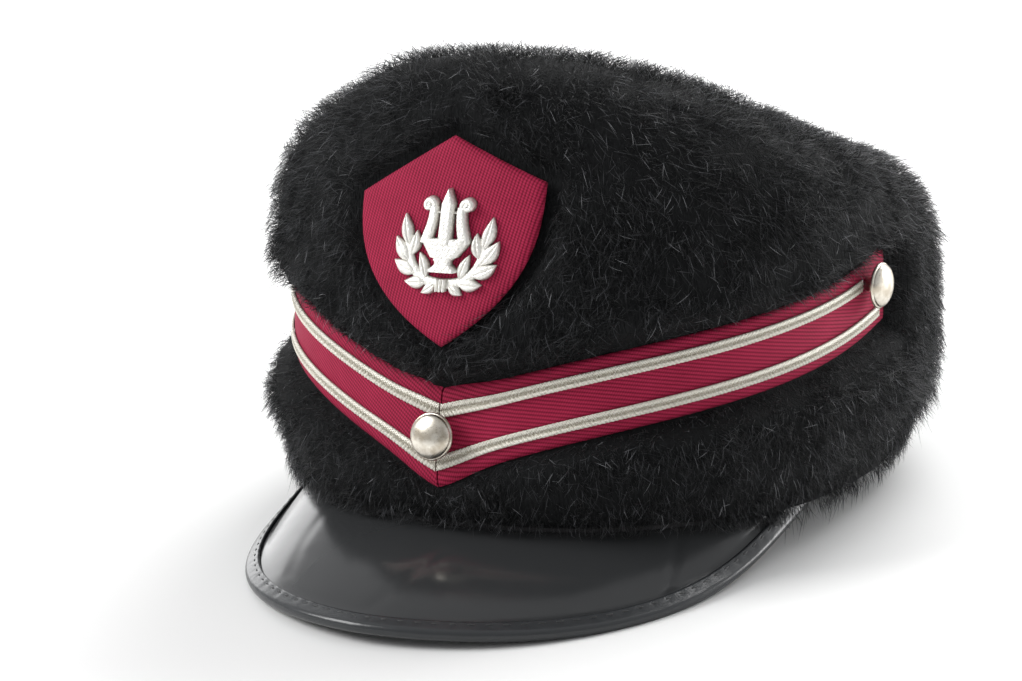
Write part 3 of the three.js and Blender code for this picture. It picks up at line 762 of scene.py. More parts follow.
@dataclass(frozen=True)
class PatentFinish:
    """Patent sheet: a black lacquer coat over cloth-backed leather, mirror-like but slightly wavy."""

    lacquer: str = "#353637"
    roughness: float = 0.11

    def make(self) -> bpy.types.Material:
        """The lacquer, with slow waves that bend its reflections and a haze of fine wear."""
        material, shader = new_material("patent_lacquer")
        place = add_node(material, "TexCoord")
        swell = add_node(
            material, "TexNoise", {"Vector": place.outputs["Object"], "Scale": 30.0, "Detail": 1.0}
        )
        haze = add_node(
            material, "TexNoise", {"Vector": place.outputs["Object"], "Scale": 160.0, "Detail": 5.0}
        )
        dull = add_node(
            material,
            "MapRange",
            {"Value": haze.outputs["Fac"], 3: self.roughness * 0.6, 4: self.roughness * 2.2},
        )
        relief = add_node(
            material, "Bump", {"Height": swell.outputs["Fac"], "Distance": 0.0006, "Strength": 0.3}
        )
        feed(material, shader, {"Base Color": linear(self.lacquer), "Roughness": dull.outputs[0]})
        feed(material, shader, {"Normal": relief.outputs["Normal"], "IOR": 1.43})
        return material


@dataclass(frozen=True)
class BindingFinish:
    """Coated binding tape, folded and sewn: satin black with a fine pebble and small puckers."""

    coat: str = "#2f3133"

    def make(self) -> bpy.types.Material:
        """The tape's satin coat, with a grain of about half a millimetre."""
        material, shader = new_material("coated_binding_tape")
        place = add_node(material, "TexCoord")
        grain = add_node(material, "TexVoronoi", {"Vector": place.outputs["Object"], "Scale": 1500.0})
        pucker = add_node(
            material, "TexNoise", {"Vector": place.outputs["Object"], "Scale": 210.0, "Detail": 3.0}
        )
        fine = add_node(
            material, "Bump", {"Height": grain.outputs["Distance"], "Distance": 0.00004, "Strength": 0.4}
        )
        relief = add_node(
            material,
            "Bump",
            {
                "Height": pucker.outputs["Fac"],
                "Distance": 0.0004,
                "Strength": 0.4,
                "Normal": fine.outputs["Normal"],
            },
        )
        feed(material, shader, {"Base Color": linear(self.coat), "Roughness": 0.26, "IOR": 1.5})
        feed(material, shader, {"Normal": relief.outputs["Normal"]})
        return material

    def thread(self) -> bpy.types.Material:
        """Waxed black sewing thread, twisted, with a dull shine along each stitch."""
        material, shader = new_material("waxed_thread")
        place = add_node(material, "TexCoord")
        twist = add_node(material, "TexNoise", {"Vector": place.outputs["Object"], "Scale": 3000.0})
        blend = add_node(material, "ValToRGB", {"Fac": twist.outputs["Fac"]})
        colour = ramp(blend, [(0.3, "#1b1c1d"), (0.7, "#3c3d3e")])
        feed(material, shader, {"Base Color": colour, "Roughness": 0.5})
        return material


@dataclass(frozen=True)
class WallFinish:
    """Cotton buckram: stiffened plain-woven cloth, dull black, with its threads just showing."""

    # warp is the colour of the low gaps between threads, darkened as painted shade; weft is that of the high
    # threads.
    warp: str = "#1d1c1e"
    weft: str = "#2d2c2e"
    thread_spacing: float = 0.9

    def make(self) -> bpy.types.Material:
        """The plain weave: warp and weft waves, of which the higher shows, drawn coarse enough to see, and
        darker where both threads lie low, as painted shade in the gaps.
        """
        material, shader = new_material("cotton_buckram")
        chart = add_node(material, "Attribute", attribute_name="chart")
        scale = wave_scale(self.thread_spacing)
        inputs = {"Vector": chart.outputs["Vector"], "Scale": scale, "Distortion": 0.6, "Detail": 2.0}
        warp = add_node(material, "TexWave", inputs, bands_direction="X")
        weft = add_node(material, "TexWave", inputs, bands_direction="Y")
        higher = add_node(
            material, "Math", {0: warp.outputs["Fac"], 1: weft.outputs["Fac"]}, operation="MAXIMUM"
        )
        blend = add_node(material, "ValToRGB", {"Fac": higher.outputs[0]})
        relief = add_node(
            material, "Bump", {"Height": higher.outputs[0], "Distance": 0.00015, "Strength": 0.8}
        )
        colour = ramp(blend, [(0.2, self.warp), (0.9, self.weft)])
        feed(material, shader, {"Base Color": colour, "Roughness": 0.9, "Normal": relief.outputs["Normal"]})
        return material


class BandCurve(NamedTuple):
    """How one half of the band climbs from the V: the factors of the angle, its square and its cube."""

    rise: float
    ease: float
    turn: float


@dataclass(frozen=True)
class BandLine:
    """The band's centre line and the strip round it.

    The line's height is a cubic of the angle from the V in radians. The strip's height across is its
    width times the steepness of the line there, and a little more close to the V.
    """

    crown: CrownForm
    v: float = 36.2
    left: BandCurve = BandCurve(38.9, -27.6, 9.5)
    right: BandCurve = BandCurve(42.8, -23.4, 4.9)
    width: float = 22.4
    seam: float = 0.08 * DEG
    end: float = 91 * DEG
    flare: float = 0.18
    flare_reach: float = 6 * DEG

    def centre(self, angle: Array) -> Array:
        """Height of the centre line."""
        q = np.abs(angle)
        left, right = (
            curve.rise * q + curve.ease * q**2 + curve.turn * q**3 for curve in (self.left, self.right)
        )
        return self.v + np.where(angle < 0, right, left)

    def stretch(self, angle: Array) -> Array:
        """Upright height of the strip for each unit of its width."""
        step = 0.5 * DEG
        side = np.where(angle < 0, -1.0, 1.0)
        q = np.maximum(np.abs(angle), 2 * DEG)
        near, far = side * (q - step), side * (q + step)
        low, high = (self.crown.wall(a, self.crown.level_of_height(a, self.centre(a))) for a in (near, far))
        run = np.hypot(high[..., 0] - low[..., 0], high[..., 1] - low[..., 1])
        flare = self.flare * np.exp(-((angle / self.flare_reach) ** 2))
        return np.hypot(1.0, (high[..., 2] - low[..., 2]) / run) * (1 + flare)

    def point(self, angle: Array, across: Array, out: Array | float) -> Array:
        """A point of the strip, by its angle, its distance from the centre line and its distance out."""
        z = self.centre(angle) + across * self.stretch(angle)
        return self.crown.point(angle, self.crown.level_of_height(angle, z), out)

    def angles(self, side: Side, end: float, count: int) -> Array:
        """Angles from the V to an end, closer together at the V."""
        share = np.linspace(0.0, 1.0, count) ** 1.25
        return side.value * (self.seam + (end - self.seam) * share)


@dataclass(frozen=True)
class TwillBand:
    """The crimson band: two strips of turned twill that meet in the V."""

    line: BandLine
    depth: float = 1.6
    thick: float = 1.2
    steps: int = 220
    across_points: int = 25
    rib_angle: float = -17.0

    def strip(self, side: Side) -> Shell:
        """One half: a pillow profile, flat below and rounded down at both turned edges, along the line."""
        s = np.linspace(-1.0, 1.0, self.across_points)
        half = self.line.width / 2
        top = self.depth + self.thick * np.sqrt(1 - 0.97 * np.abs(s) ** 14)
        across = half * np.concatenate([s, s[::-2]])
        out = np.concatenate([top, np.full(len(s[::2]), self.depth)])
        angle = self.line.angles(side, self.line.end, self.steps)
        rows = self.line.point(angle[:, None], across[None, :], out[None, :] + 0 * angle[:, None])
        run = along(self.line.point(angle, np.zeros_like(angle), self.depth)) * side.value
        chart = np.stack(np.broadcast_arrays(run[:, None], across[None, :]), -1)
        return Shell.tube(rows, chart=chart)

    def build(self, bench: Bench, finish: TwillFinish) -> None:
        """Adds both halves."""
        cloth = finish.cloth("crimson_twill_band", self.rib_angle)
        for side in Side:
            name = side.name.lower()
            strip = self.strip(side)
            bench.add(f"twill_band_{name}", strip, cloth, "crimson_twill", [f"band_{name}"], sharp=50)


@dataclass(frozen=True)
class Braid:
    """Two rows of flat plaited braid on each half of the band."""

    line: BandLine
    offset: float = 5.9
    width: float = 3.3
    thick: float = 0.9
    seat: float = 3.1
    upper_end: float = 83 * DEG
    lower_end: float = 89 * DEG
    plait: float = 1.25
    swell: float = 0.14
    step: float = 0.35

    def row(self, side: Side, row: Row) -> Shell:
        """One braid: two half-round cords side by side, with plaits that slant away from the middle.

        Each cord's profile is a half ellipse. A wave along the braid, later the further from the middle,
        swells it plait by plait and scallops its outer edge.
        """
        lobes = 8
        s = np.linspace(-1.0, 1.0, 2 * lobes - 1)
        round_cord = np.sqrt(np.clip(1 - (2 * np.abs(s) - 1) ** 2, 0.0, 1.0))
        end = self.upper_end if row is Row.UPPER else self.lower_end
        rough = self.line.angles(side, end, 60)
        length = along(self.line.point(rough, np.full_like(rough, row.value * self.offset), self.seat))
        angle = np.interp(np.arange(0.0, length[-1], self.step), length, rough)
        run = np.interp(np.abs(angle), np.abs(rough), length)
        wave = np.cos(2 * math.pi * (run[:, None] / self.plait - 1.1 * np.abs(s)[None, :]))
        raised = 0.7 + 0.3 * round_cord[None, :]
        top = self.seat + raised * (self.thick - self.swell + self.swell * wave)
        edge = 1 + 0.05 * wave * (np.abs(s) > 0.9)
        across = row.value * self.offset + s[None, :] * self.width / 2 * edge
        base = np.linspace(1.0, -1.0, 5)[None, :] * self.width / 2 + row.value * self.offset
        across = np.concatenate([across, np.broadcast_to(base, (len(angle), 5))], axis=1)
        out = np.concatenate([top, np.full((len(angle), 5), self.seat)], axis=1)
        rows = self.line.point(np.broadcast_to(angle[:, None], across.shape), across, out)
        chart = np.stack(np.broadcast_arrays(run[:, None], across - row.value * self.offset), -1)
        # The plait mark is painted light: low in the middle groove as painted shade, high on the cords, with
        # a painted highlight on each plait's crest.
        groove_shading = 0.1 + 0.7 * smoothstep(np.abs(s), 0.2, 0.5)
        raised = groove_shading[None, :] + 0.2 * wave * round_cord[None, :]
        tone = np.concatenate([raised, np.zeros((len(angle), 5))], axis=1)
        return Shell.tube(rows, chart=chart, plait=tone)

    def build(self, bench: Bench, finish: BraidFinish) -> None:
        """Adds the four braids."""
        silver = finish.make()
        for side in Side:
            for row in Row:
                name = f"{row.name.lower()}_{side.name.lower()}"
                braid = self.row(side, row)
                bench.add(f"braid_{name}", braid, silver, "silver_braid", [f"cord_{name}"], sharp=70)


class ButtonPlace(NamedTuple):
    """Where a button sits: its angle and its height over the band's centre line."""

    name: str
    angle: float
    rise: float


@dataclass(frozen=True)
class DomeButtons:
    """Domed buttons at the V and at both ends of the band."""

    line: BandLine
    radius: float = 6.9
    dome: float = 2.4
    ledge: float = 0.5
    rim: float = 1.1
    shank: float = 2.2
    back: float = 3.8
    seat: float = 3.1
    segments: int = 72
    places: tuple[ButtonPlace, ...] = (
        ButtonPlace("front", 0.0, 0.2),
        ButtonPlace("left", 85 * DEG, 5.1),
        ButtonPlace("right", -85 * DEG, 5.1),
    )

    def lathe(self) -> Shell:
        """The button about its own Z: shank, flat back, rolled rim, a fine groove, then the dome."""
        roll = np.linspace(-90.0, 90.0, 9) * DEG
        half = self.rim / 2
        rim = np.stack([self.radius - half + half * np.cos(roll), self.back + half + half * np.sin(roll)], -1)
        turn = np.linspace(0.0, 88.0, 22) * DEG
        shell = self.radius - self.ledge
        dome = np.stack([shell * np.cos(turn), self.back + self.rim + self.dome * np.sin(turn)], -1)
        groove = [[shell + 0.1, self.back + self.rim - 0.1]]
        shank = [[self.shank * 0.9, 0.0], [self.shank, 0.2], [self.shank, self.back]]
        profile = np.concatenate([shank, rim, groove, dome])
        around = np.arange(self.segments) * 2 * math.pi / self.segments
        ring = np.stack([np.cos(around), np.sin(around)], -1)
        flat = profile[:, None, :1] * ring[None]
        height = np.broadcast_to(profile[:, None, 1:], (len(profile), self.segments, 1))
        rows = np.concatenate([flat, height], -1)
        high = self.back + self.rim + self.dome
        return Shell.rings(rows, np.zeros(3), np.array([0.0, 0.0, high]))

    def build(self, bench: Bench, finish: NickelFinish) -> None:
        """Adds the three buttons, each with its axis out of the crown."""
        nickel = finish.make()
        crown = self.line.crown
        for name, place, rise in self.places:
            angle = np.array([place])
            u = crown.level_of_height(angle, self.line.centre(angle) + rise)
            normal = crown.normal(angle, u)
            across = unit(np.cross([0.0, 0.0, 1.0], normal))
            axes = np.stack([across, np.cross(normal, across), normal], axis=1)
            shell = self.lathe().scattered(crown.point(angle, u, self.seat), axes)
            bench.add(f"dome_button_{name}", shell, nickel, "button_nickel", [f"button_{name}"], sharp=60)


@dataclass(frozen=True)
class ShieldPlate:
    """The twill shield: a low pointed top over two uneven corners, and round sides down to the tip."""

    crown: CrownForm
    half_width: float = 29.4
    centre_x: float = 1.0
    centre_z: float = 98.0
    tip: tuple[float, float] = (2.6, 63.6)
    peak: tuple[float, float] = (1.3, 121.6)
    left_z: float = 109.5
    right_z: float = 104.9
    round: float = 2.7
    seat: float = 8.2
    thick: float = 1.8
    rib_angle: float = 76.0

    @property
    def face(self) -> float:
        """Distance of the shield's face out of the wall."""
        return self.seat + self.thick

    def half_outline(self, side: Side, count: int) -> Array:
        """From the tip up one side to the peak: the way out grows as 1-(1-t)^round, the top is straight."""
        t = np.linspace(0.0, 1.0, count)[:, None]
        tip, peak = np.array(self.tip), np.array(self.peak)
        corner_z = self.left_z if side is Side.LEFT else self.right_z
        corner = np.array([self.centre_x + side.value * self.half_width, corner_z])
        edge = tip + (corner - tip) * np.concatenate([1 - (1 - t) ** self.round, t], axis=1)
        roof = np.linspace(0.0, 1.0, count // 2 + 1)[1:, None]
        return np.concatenate([edge, corner + (peak - corner) * roof])

    def outline(self, count: int = 40) -> Array:
        """The whole outline as x and z, from the tip up the wearer's left and down the right."""
        left, right = (self.half_outline(side, count) for side in Side)
        return np.concatenate([left, right[1:-1][::-1]])

    def distance(self, x: Array, z: Array) -> Array:
        """Signed distance from the outline in the front view, negative inside."""
        corner = self.outline(14)
        following = np.roll(corner, -1, axis=0)
        edge = following - corner
        offset = np.stack([x, z], -1)[:, None, :] - corner[None]
        share = np.clip((offset * edge).sum(-1) / (edge * edge).sum(-1), 0.0, 1.0)
        nearest = np.linalg.norm(offset - share[..., None] * edge, axis=-1).min(axis=1)
        above = corner[None, :, 1] > z[:, None]
        crossing = above != np.roll(above, -1, axis=1)
        with np.errstate(divide="ignore", invalid="ignore"):
            meet = corner[:, 0] + (z[:, None] - corner[:, 1]) / edge[:, 1] * edge[:, 0]
        inside = (crossing & (x[:, None] < meet)).sum(axis=1) % 2 == 1
        return np.where(inside, -nearest, nearest)

    def sheet(self) -> Shell:
        """Rings from the middle out to the outline and back underneath, bent onto the crown's front.

        The face is level, swells a little in the middle and rolls down within the last part of each ring.
        """
        share = np.concatenate([np.linspace(0.05, 0.9, 18), np.linspace(0.92, 1.0, 8)])
        middle = np.array([self.centre_x, self.centre_z])
        spread = middle + share[:, None, None] * (self.outline() - middle)[None]
        roll = np.clip((share - 0.9) / 0.1, 0.0, 1.0)
        face = self.face - (self.thick * 0.75) * (1 - np.sqrt(1 - 0.98 * roll**2))
        inner = spread[-1:][:, :, :]
        under = middle + np.array([1.0, 0.6, 0.2])[:, None, None] * (inner[0] - middle)[None]
        plan = np.concatenate([spread, under])
        out = np.concatenate([face, np.full(3, self.seat)])[:, None] + np.zeros(plan.shape[:2])
        rows = self.crown.front(plan[..., 0], plan[..., 1], out)
        levels = (self.face, self.seat)
        pole = [self.crown.front(middle[:1], middle[1:], np.array([level]))[0] for level in levels]
        return Shell.rings(rows, pole[0], pole[1], chart=plan)

    def build(self, bench: Bench, finish: TwillFinish) -> None:
        """Adds the shield."""
        cloth = finish.cloth("crimson_twill_shield", self.rib_angle)
        bench.add("twill_shield", self.sheet(), cloth, "crimson_twill", ["shield"], sharp=60)


class Leaf(NamedTuple):
    """One laurel leaf of the wreath's half: its base, its tip, its width and how much it curves."""

    base_x: float
    base_h: float
    tip_x: float
    tip_h: float
    width: float
    bow: float


@dataclass(frozen=True)
class LyreBadge:
    """A cast badge: a lyre in a laurel wreath, drawn flat and bent onto the shield.

    x runs from the badge's middle and h up from its lowest leaf. Each element is a ridge carried along a
    line, with its own widths and heights.
    """

    shield: ShieldPlate
    centre_x: float = 2.9
    bottom_z: float = 78.6
    lean_factor: float = 0.965
    slant: float = 0.03
    foot: float = 6.5
    leaves: tuple[Leaf, ...] = (
        Leaf(2.2, 2.9, 6.6, 0.1, 3.2, -0.2),
        Leaf(5.2, 3.4, 12.4, 3.2, 4.0, -0.3),
        Leaf(9.0, 5.8, 16.4, 9.1, 4.4, -0.4),
        Leaf(11.4, 9.0, 16.4, 15.8, 4.5, -0.4),
        Leaf(11.8, 13.4, 14.0, 22.5, 4.1, -0.3),
        Leaf(5.4, 4.4, 8.0, 11.7, 3.4, 0.3),
        Leaf(10.8, 10.6, 9.6, 17.9, 3.7, 0.4),
    )

    def ridge(self, line: Array, half: Array, height: Array, power: float, crease: float = 0.0) -> Shell:
        """A ridge along a line: its height falls across it as a superellipse, less a crease in the middle.

        Args:
            line: points x, h of the ridge's middle.
            half: its half width at each point.
            height: its height at each point.
            power: 2 for a round ridge, more for a flat one with round edges.
            crease: depth of the furrow along the middle, as a share of the height.

        Returns:
            The closed ridge, bent onto the shield.
        """
        t = np.linspace(-1.0, 1.0, 13)
        heading = unit(np.gradient(line, axis=0))
        across = np.stack([-heading[:, 1], heading[:, 0]], -1)
        plan = line[:, None] + across[:, None] * (half[:, None] * t)[..., None]
        dome = np.clip(1 - np.abs(t) ** power, 0.0, 1.0) ** (1 / power)
        furrow = 1 - crease * np.exp(-((t / 0.16) ** 2))
        out = height[:, None] * (dome * furrow)[None, :]
        x = self.centre_x + plan[..., 0] + self.slant * (plan[..., 1] - self.foot)
        z = self.bottom_z + plan[..., 1] * self.lean_factor
        rows = self.shield.crown.front(x, z, self.shield.face + CLEARANCE + out)
        # The relief mark is painted light: highest on a ridge's crest and falling to its edges and into its
        # furrow, where the casting is darkened as painted shade.
        shade = (dome * (1 - 1.6 * (1 - furrow)))[None, :] * np.ones_like(out)
        return Shell.tube(rows, relief=np.clip(shade, 0.0, 1.0))

    def leaf(self, leaf: Leaf, flip: Array) -> Shell:
        """A leaf: its half width is a skewed half wave from base to tip, on a line that bows sideways."""
        t = np.linspace(0.02, 0.99, 16)
        base, tip = np.array([leaf.base_x, leaf.base_h]), np.array([leaf.tip_x, leaf.tip_h])
        run = tip - base
        sideways = np.array([-run[1], run[0]]) / np.linalg.norm(run)
        line = base + t[:, None] * run + leaf.bow * np.sin(math.pi * t)[:, None] * sideways
        half = leaf.width / 2 * np.sin(math.pi * t**0.85) + 0.05
        return self.ridge(line * flip, half, 0.7 + 0.9 * np.sin(math.pi * t) ** 0.5, 2.0, crease=0.28)

    def upright(self, outline: Sequence[tuple[float, float]], height: float, power: float) -> Shell:
        """A ridge that stands on the badge's middle line, by heights and the half width at each."""
        table = np.array(outline)
        h = np.unique(np.concatenate([table[:, 0], np.linspace(table[0, 0], table[-1, 0], 30)]))
        half = np.interp(h, table[:, 0], table[:, 1])
        return self.ridge(np.stack([0 * h, h], -1), half, np.full_like(h, height), power)

    def level(self, h: float, reach: float, half: float, height: float) -> Shell:
        """A round bar across the badge's middle line."""
        x = np.linspace(-reach, reach, 12)
        return self.ridge(np.stack([x, 0 * x + h], -1), np.full_like(x, half), np.full_like(x, height), 2.0)

    def lyre(self) -> list[Shell]:
        """The lyre's foot, neck and bowl, its strings in one bar with a pointed end, and its crossbar."""
        bowl = [(self.foot, 4.8), (6.7, 5.0), (7.2, 5.0), (7.5, 4.2), (8.7, 2.7), (9.6, 2.6), (10.1, 3.2),
                (10.6, 3.2), (10.7, 4.5), (14.9, 8.0), (15.6, 8.1), (15.9, 7.8)]
        strings = [(14.6, 2.05), (26.0, 2.05), (27.7, 1.3), (30.3, 0.06)]
        bar = self.level(23.4, 4.2, 0.42, 1.4)
        return [self.upright(bowl, 2.2, 7.0), self.upright(strings, 2.5, 5.0), bar]

    def half(self, side: Side) -> list[Shell]:
        """What stands on one side: leaves, stem, the lyre's arm and the scroll at its end."""
        flip = np.array([side.value, 1.0])
        stem = through([(0.0, 2.9), (4.5, 3.4), (8.6, 5.6), (11.0, 8.8), (12.0, 12.4), (12.0, 16.4)], 26)
        arm = through([(6.2, 14.6), (5.6, 17.0), (4.9, 19.5), (4.45, 22.5), (4.4, 25.0)], 24)
        turn = np.linspace(195.0, -300.0, 40) * DEG
        radius = np.linspace(1.75, 0.05, 40)
        scroll = np.stack([6.1 + radius * np.cos(turn), 25.4 + radius * np.sin(turn)], -1)
        ridges = [
            self.ridge(stem * flip, np.full(26, 1.6), np.full(26, 0.9), 2.0),
            self.ridge(arm * flip, np.linspace(1.9, 1.35, 24), np.full(24, 2.1), 4.0),
            self.ridge(scroll * flip, np.linspace(1.1, 0.95, 40), np.linspace(2.1, 2.3, 40), 2.5),
        ]
        return [*(self.leaf(leaf, flip) for leaf in self.leaves), *ridges]

    def knot(self) -> list[Shell]:
        """The ribbon round the stems where they cross: three upright turns side by side."""
        h = np.linspace(1.0, 4.5, 12)
        sides = np.full_like(h, 0.6), np.full_like(h, 2.1)
        return [self.ridge(np.stack([0 * h + x, h], -1), *sides, 2.5) for x in (-1.1, 0.0, 1.1)]

    def build(self, bench: Bench, finish: BadgeFinish) -> None:
        """Adds the badge as one casting."""
        halves = [shell for side in Side for shell in self.half(side)]
        casting = Shell.joined([*self.lyre(), *self.knot(), *halves])
        bench.add("lyre_badge", casting, finish.make(), "badge_metal", ["badge"], sharp=75)


@dataclass(frozen=True)
class Visor:
    """The patent visor: straight lines out and down from the rim, steeper and shorter towards its ends."""

    crown: CrownForm
    root: float = 0.35
    reach: float = 52.0
    end: float = 79.6 * DEG
    power: float = 1.5
    taper: float = 1.42
    thick: float = 1.4
    bulge: float = 1.4
    lift: float = 0.6
    slope_front: float = 17.4 * DEG
    slope_end: float = 69.8 * DEG
    slope_power: float = 1.56
    sweep: float = 0.93
    binding_width: float = 5.7
    leather: float = 0.8
    nose: float = 1.0
    fold: float = 1.0
    stitch_spacing: float = 5.0

    def angles(self, count: int) -> Array:
        """Angles from end to end of the sheet."""
        return np.linspace(-1.0, 1.0, count) * self.end * self.sweep

    def length(self, angle: Array) -> Array:
        """How far the visor reaches at an angle: reach (1 - t^power)^taper, t running to its end."""
        t = np.minimum(np.abs(angle) / self.end, 1.0)
        return self.reach * (1 - t**self.power) ** self.taper

    def slope(self, angle: Array) -> Array:
        """How steeply the visor falls at an angle, growing with a power of the angle."""
        t = np.abs(angle) / self.end
        return self.slope_front + (self.slope_end - self.slope_front) * t**self.slope_power

    def outward(self, angle: Array) -> Array:
        """The level unit vector out of the rim."""
        step = 1e-3
        zero = np.zeros_like(angle)
        rim = self.crown.wall(angle + step, zero) - self.crown.wall(angle - step, zero)
        return unit(np.stack([rim[..., 1], -rim[..., 0], 0 * zero], -1))

    def dent(self, angle: Array, distance: Array) -> Array:
        """Slow waves of the worn sheet, and three creases: valleys with a bell-shaped section."""
        wave = 0.03 * np.sin(9 * angle + 0.11 * distance) * np.sin(0.12 * distance + 1.0)
        crease = np.zeros_like(wave)
        for start, finish, depth, wide in (
            ((0.05, 14.0), (-0.01, 44.0), 0.25, 1.5),
            ((0.75, 4.0), (0.66, 23.0), 0.45, 1.7),
            ((-0.5, 4.0), (-0.3, 34.0), 0.08, 2.6),
        ):
            scale = 110.0
            run = np.array([(finish[0] - start[0]) * scale, finish[1] - start[1]])
            offset = np.stack([(angle - start[0]) * scale, distance - start[1]], -1)
            share = np.clip(offset @ run / (run @ run), 0.0, 1.0)
            away = np.linalg.norm(offset - share[..., None] * run, axis=-1)
            crease = crease - depth * np.exp(-((away / wide) ** 2))
        edge = smoothstep(self.length(angle) - distance, self.binding_width, self.binding_width + 6)
        return (wave + crease) * edge * smoothstep(distance, 0.0, 8.0)

    def point(self, angle: Array, distance: Array, height: Array) -> Array:
        """A point by its angle, its distance from the rim along the sheet and its height over the sheet."""
        angle, distance, height = np.broadcast_arrays(angle, distance, height)
        slope, length = self.slope(angle), self.length(angle)
        share = np.clip(distance / np.maximum(length - self.binding_width - 2, 1.0), 0.0, 1.0)
        arch = self.bulge * (length / self.reach) * 4 * share * (1 - share)
        lift = height + arch + self.dent(angle, distance)
        level = distance * np.cos(slope) + lift * np.sin(slope)
        z = self.lift - distance * np.sin(slope) + lift * np.cos(slope)
        outward = self.outward(angle) * level[..., None]
        return self.crown.wall(angle, 0 * angle) + outward + z[..., None] * [0, 0, 1]

    def top_z(self, points: Array, angle: Array) -> Array:
        """Height of the visor's top under points near an angle, or far below where there is no visor."""
        rim = self.crown.wall(angle, 0 * angle)
        level = ((points - rim) * self.outward(angle)).sum(axis=-1)
        slope = self.slope(np.clip(angle, -self.end, self.end))
        z = rim[:, 2] + self.lift + self.thick / 2 + self.bulge - level * np.tan(slope)
        reached = (level > -2.0) & (level < self.length(angle) * np.cos(slope))
        over = (np.abs(angle) < self.end * self.sweep) & reached
        return np.where(over, z, -1e3)

    def sheet(self) -> Shell:
        """The sheet: its top and underside half a thickness over and under the lines."""
        angle = self.angles(221)
        share = np.linspace(0.0, 1.0, 34)
        half = self.thick / 2
        inset = self.nose + self.fold + CLEARANCE
        end = self.length(angle)[:, None] - inset
        distance = self.root + (end - self.root) * np.concatenate([share, share[::-1]])[None, :]
        height = np.concatenate([np.full(34, half), np.full(34, -half)])[None, :]
        return Shell.tube(self.point(angle[:, None], distance, height))

    def binding(self) -> Shell:
        """The tape: a U-shaped profile with a round nose, folded over the edge, puckered at each stitch."""
        angle = self.angles(321)
        slot = self.thick / 2 + CLEARANCE
        outer = slot + self.leather
        turn = np.linspace(90.0, -90.0, 13) * DEG
        bend = self.nose + 0.6
        flat = np.linspace(-self.width_soft, -bend, 9)
        upper = np.stack([flat, np.full(9, outer)], -1)
        nose = np.stack([-bend + bend * np.cos(turn), outer * np.sin(turn)], -1)
        lower = upper[::-1] * [1.0, -1.0]
        inside = np.array([[-self.binding_width, -slot], [-self.nose - self.fold, -slot],
                           [-self.nose - self.fold, slot], [-self.binding_width, slot]])
        lip = np.array([[-self.binding_width, outer - 0.45]])
        profile = np.concatenate([lip, upper, nose[1:-1], lower, inside])
        run = along(self.point(angle, self.length(angle), np.zeros_like(angle)))
        beat = np.cos(math.pi * run / self.stitch_spacing) ** 8
        row = np.exp(-(((profile[:, 0] + self.stitch_row) / 1.1) ** 2)) * np.sign(profile[:, 1])
        outside = np.abs(profile[None, :, 1]) > slot
        height = profile[None, :, 1] - 0.12 * beat[:, None] * row[None, :] * outside
        distance = self.length(angle)[:, None] + profile[None, :, 0]
        return Shell.tube(self.point(angle[:, None], distance, height))

    @property
    def width_soft(self) -> float:
        """Where the tape's rounded lip turns flat, from the edge."""
        return self.binding_width - 0.35

    @property
    def stitch_row(self) -> float:
        """Distance of the row of stitches from the visor's edge."""
        return self.binding_width - 1.5

    def stitches(self) -> Shell:
        """Short waxed stitches along the tape: an ellipsoid for each, sunk half into its pucker."""
        fine = self.angles(2000)
        run = along(self.point(fine, self.length(fine), np.zeros_like(fine)))
        angle = np.interp(np.arange(self.stitch_spacing, run[-1], self.stitch_spacing), run, fine)
        distance = self.length(angle) - self.stitch_row
        height = np.full_like(angle, self.thick / 2 + CLEARANCE + self.leather - 0.12)
        origin = self.point(angle, distance, height)
        ahead = unit(self.point(angle + 1e-3, self.length(angle + 1e-3) - self.stitch_row, height) - origin)
        over = unit(self.point(angle, distance, height + 0.5) - origin)
        axes = np.stack([ahead, np.cross(over, ahead), over], axis=1)
        tall = np.linspace(-75.0, 75.0, 7) * DEG
        around = np.arange(8) * 2 * math.pi / 8
        reach = np.array([1.15, 0.3, 0.26])
        end, wide = np.sin(tall)[:, None], np.cos(tall)[:, None]
        ball = np.stack(np.broadcast_arrays(end, wide * np.cos(around), wide * np.sin(around)), -1)
        pole = np.array([reach[0], 0.0, 0.0])
        return Shell.rings(ball * reach, -pole, pole).scattered(origin, axes)

    def build(self, bench: Bench, patent: PatentFinish, tape: BindingFinish) -> None:
        """Adds the sheet, the tape and its stitches."""
        bench.add("patent_visor", self.sheet(), patent.make(), "patent", ["visor"], sharp=60)
        bench.add("bound_edge", self.binding(), tape.make(), "edge_binding", ["visor_binding"], sharp=70)
        bench.add("bound_edge_stitches", self.stitches(), tape.thread(), "edge_binding")


@dataclass(frozen=True)
class CrownWall:
    """The hollow cloth crown, open below."""

    crown: CrownForm
    thick: float = 2.5
    columns: int = 128
    rings: int = 40
    top_ring: float = 0.975

    def shell(self) -> Shell:
        """The inner face from the top down, round the rim and up the outer face, with a pole on each."""
        angle = np.arange(self.columns) * 2 * math.pi / self.columns
        u = np.linspace(0.0, self.top_ring, self.rings)
        around, up = np.meshgrid(angle, u)
        outer = self.crown.point(around, up, 0.0)
        inner = self.crown.point(around, up, -self.thick)
        rim = (outer[:1] + inner[:1]) / 2
        rim[..., 2] -= 0.25
        rows = np.concatenate([inner[::-1], rim, outer])
        drop = np.concatenate([up[::-1], up[:1], up]) * 240
        turn = np.concatenate([around[::-1], around[:1], around])
        chart = np.stack([90 * np.sin(turn / 2) * 2, drop], -1)
        return Shell.rings(rows, self.crown.top(-self.thick), self.crown.top(0.0), chart=chart)

    def build(self, bench: Bench, finish: WallFinish) -> None:
        """Adds the wall."""
        bench.add("crown_cloth", self.shell(), finish.make(), "wall_cloth", ["crown_wall"], sharp=60)


class Hairs(NamedTuple):
    """Many hairs as whole arrays: points from root to tip, thickness, tone and angle round the crown."""

    points: Array
    radius: Array
    tone: Array
    angle: Array


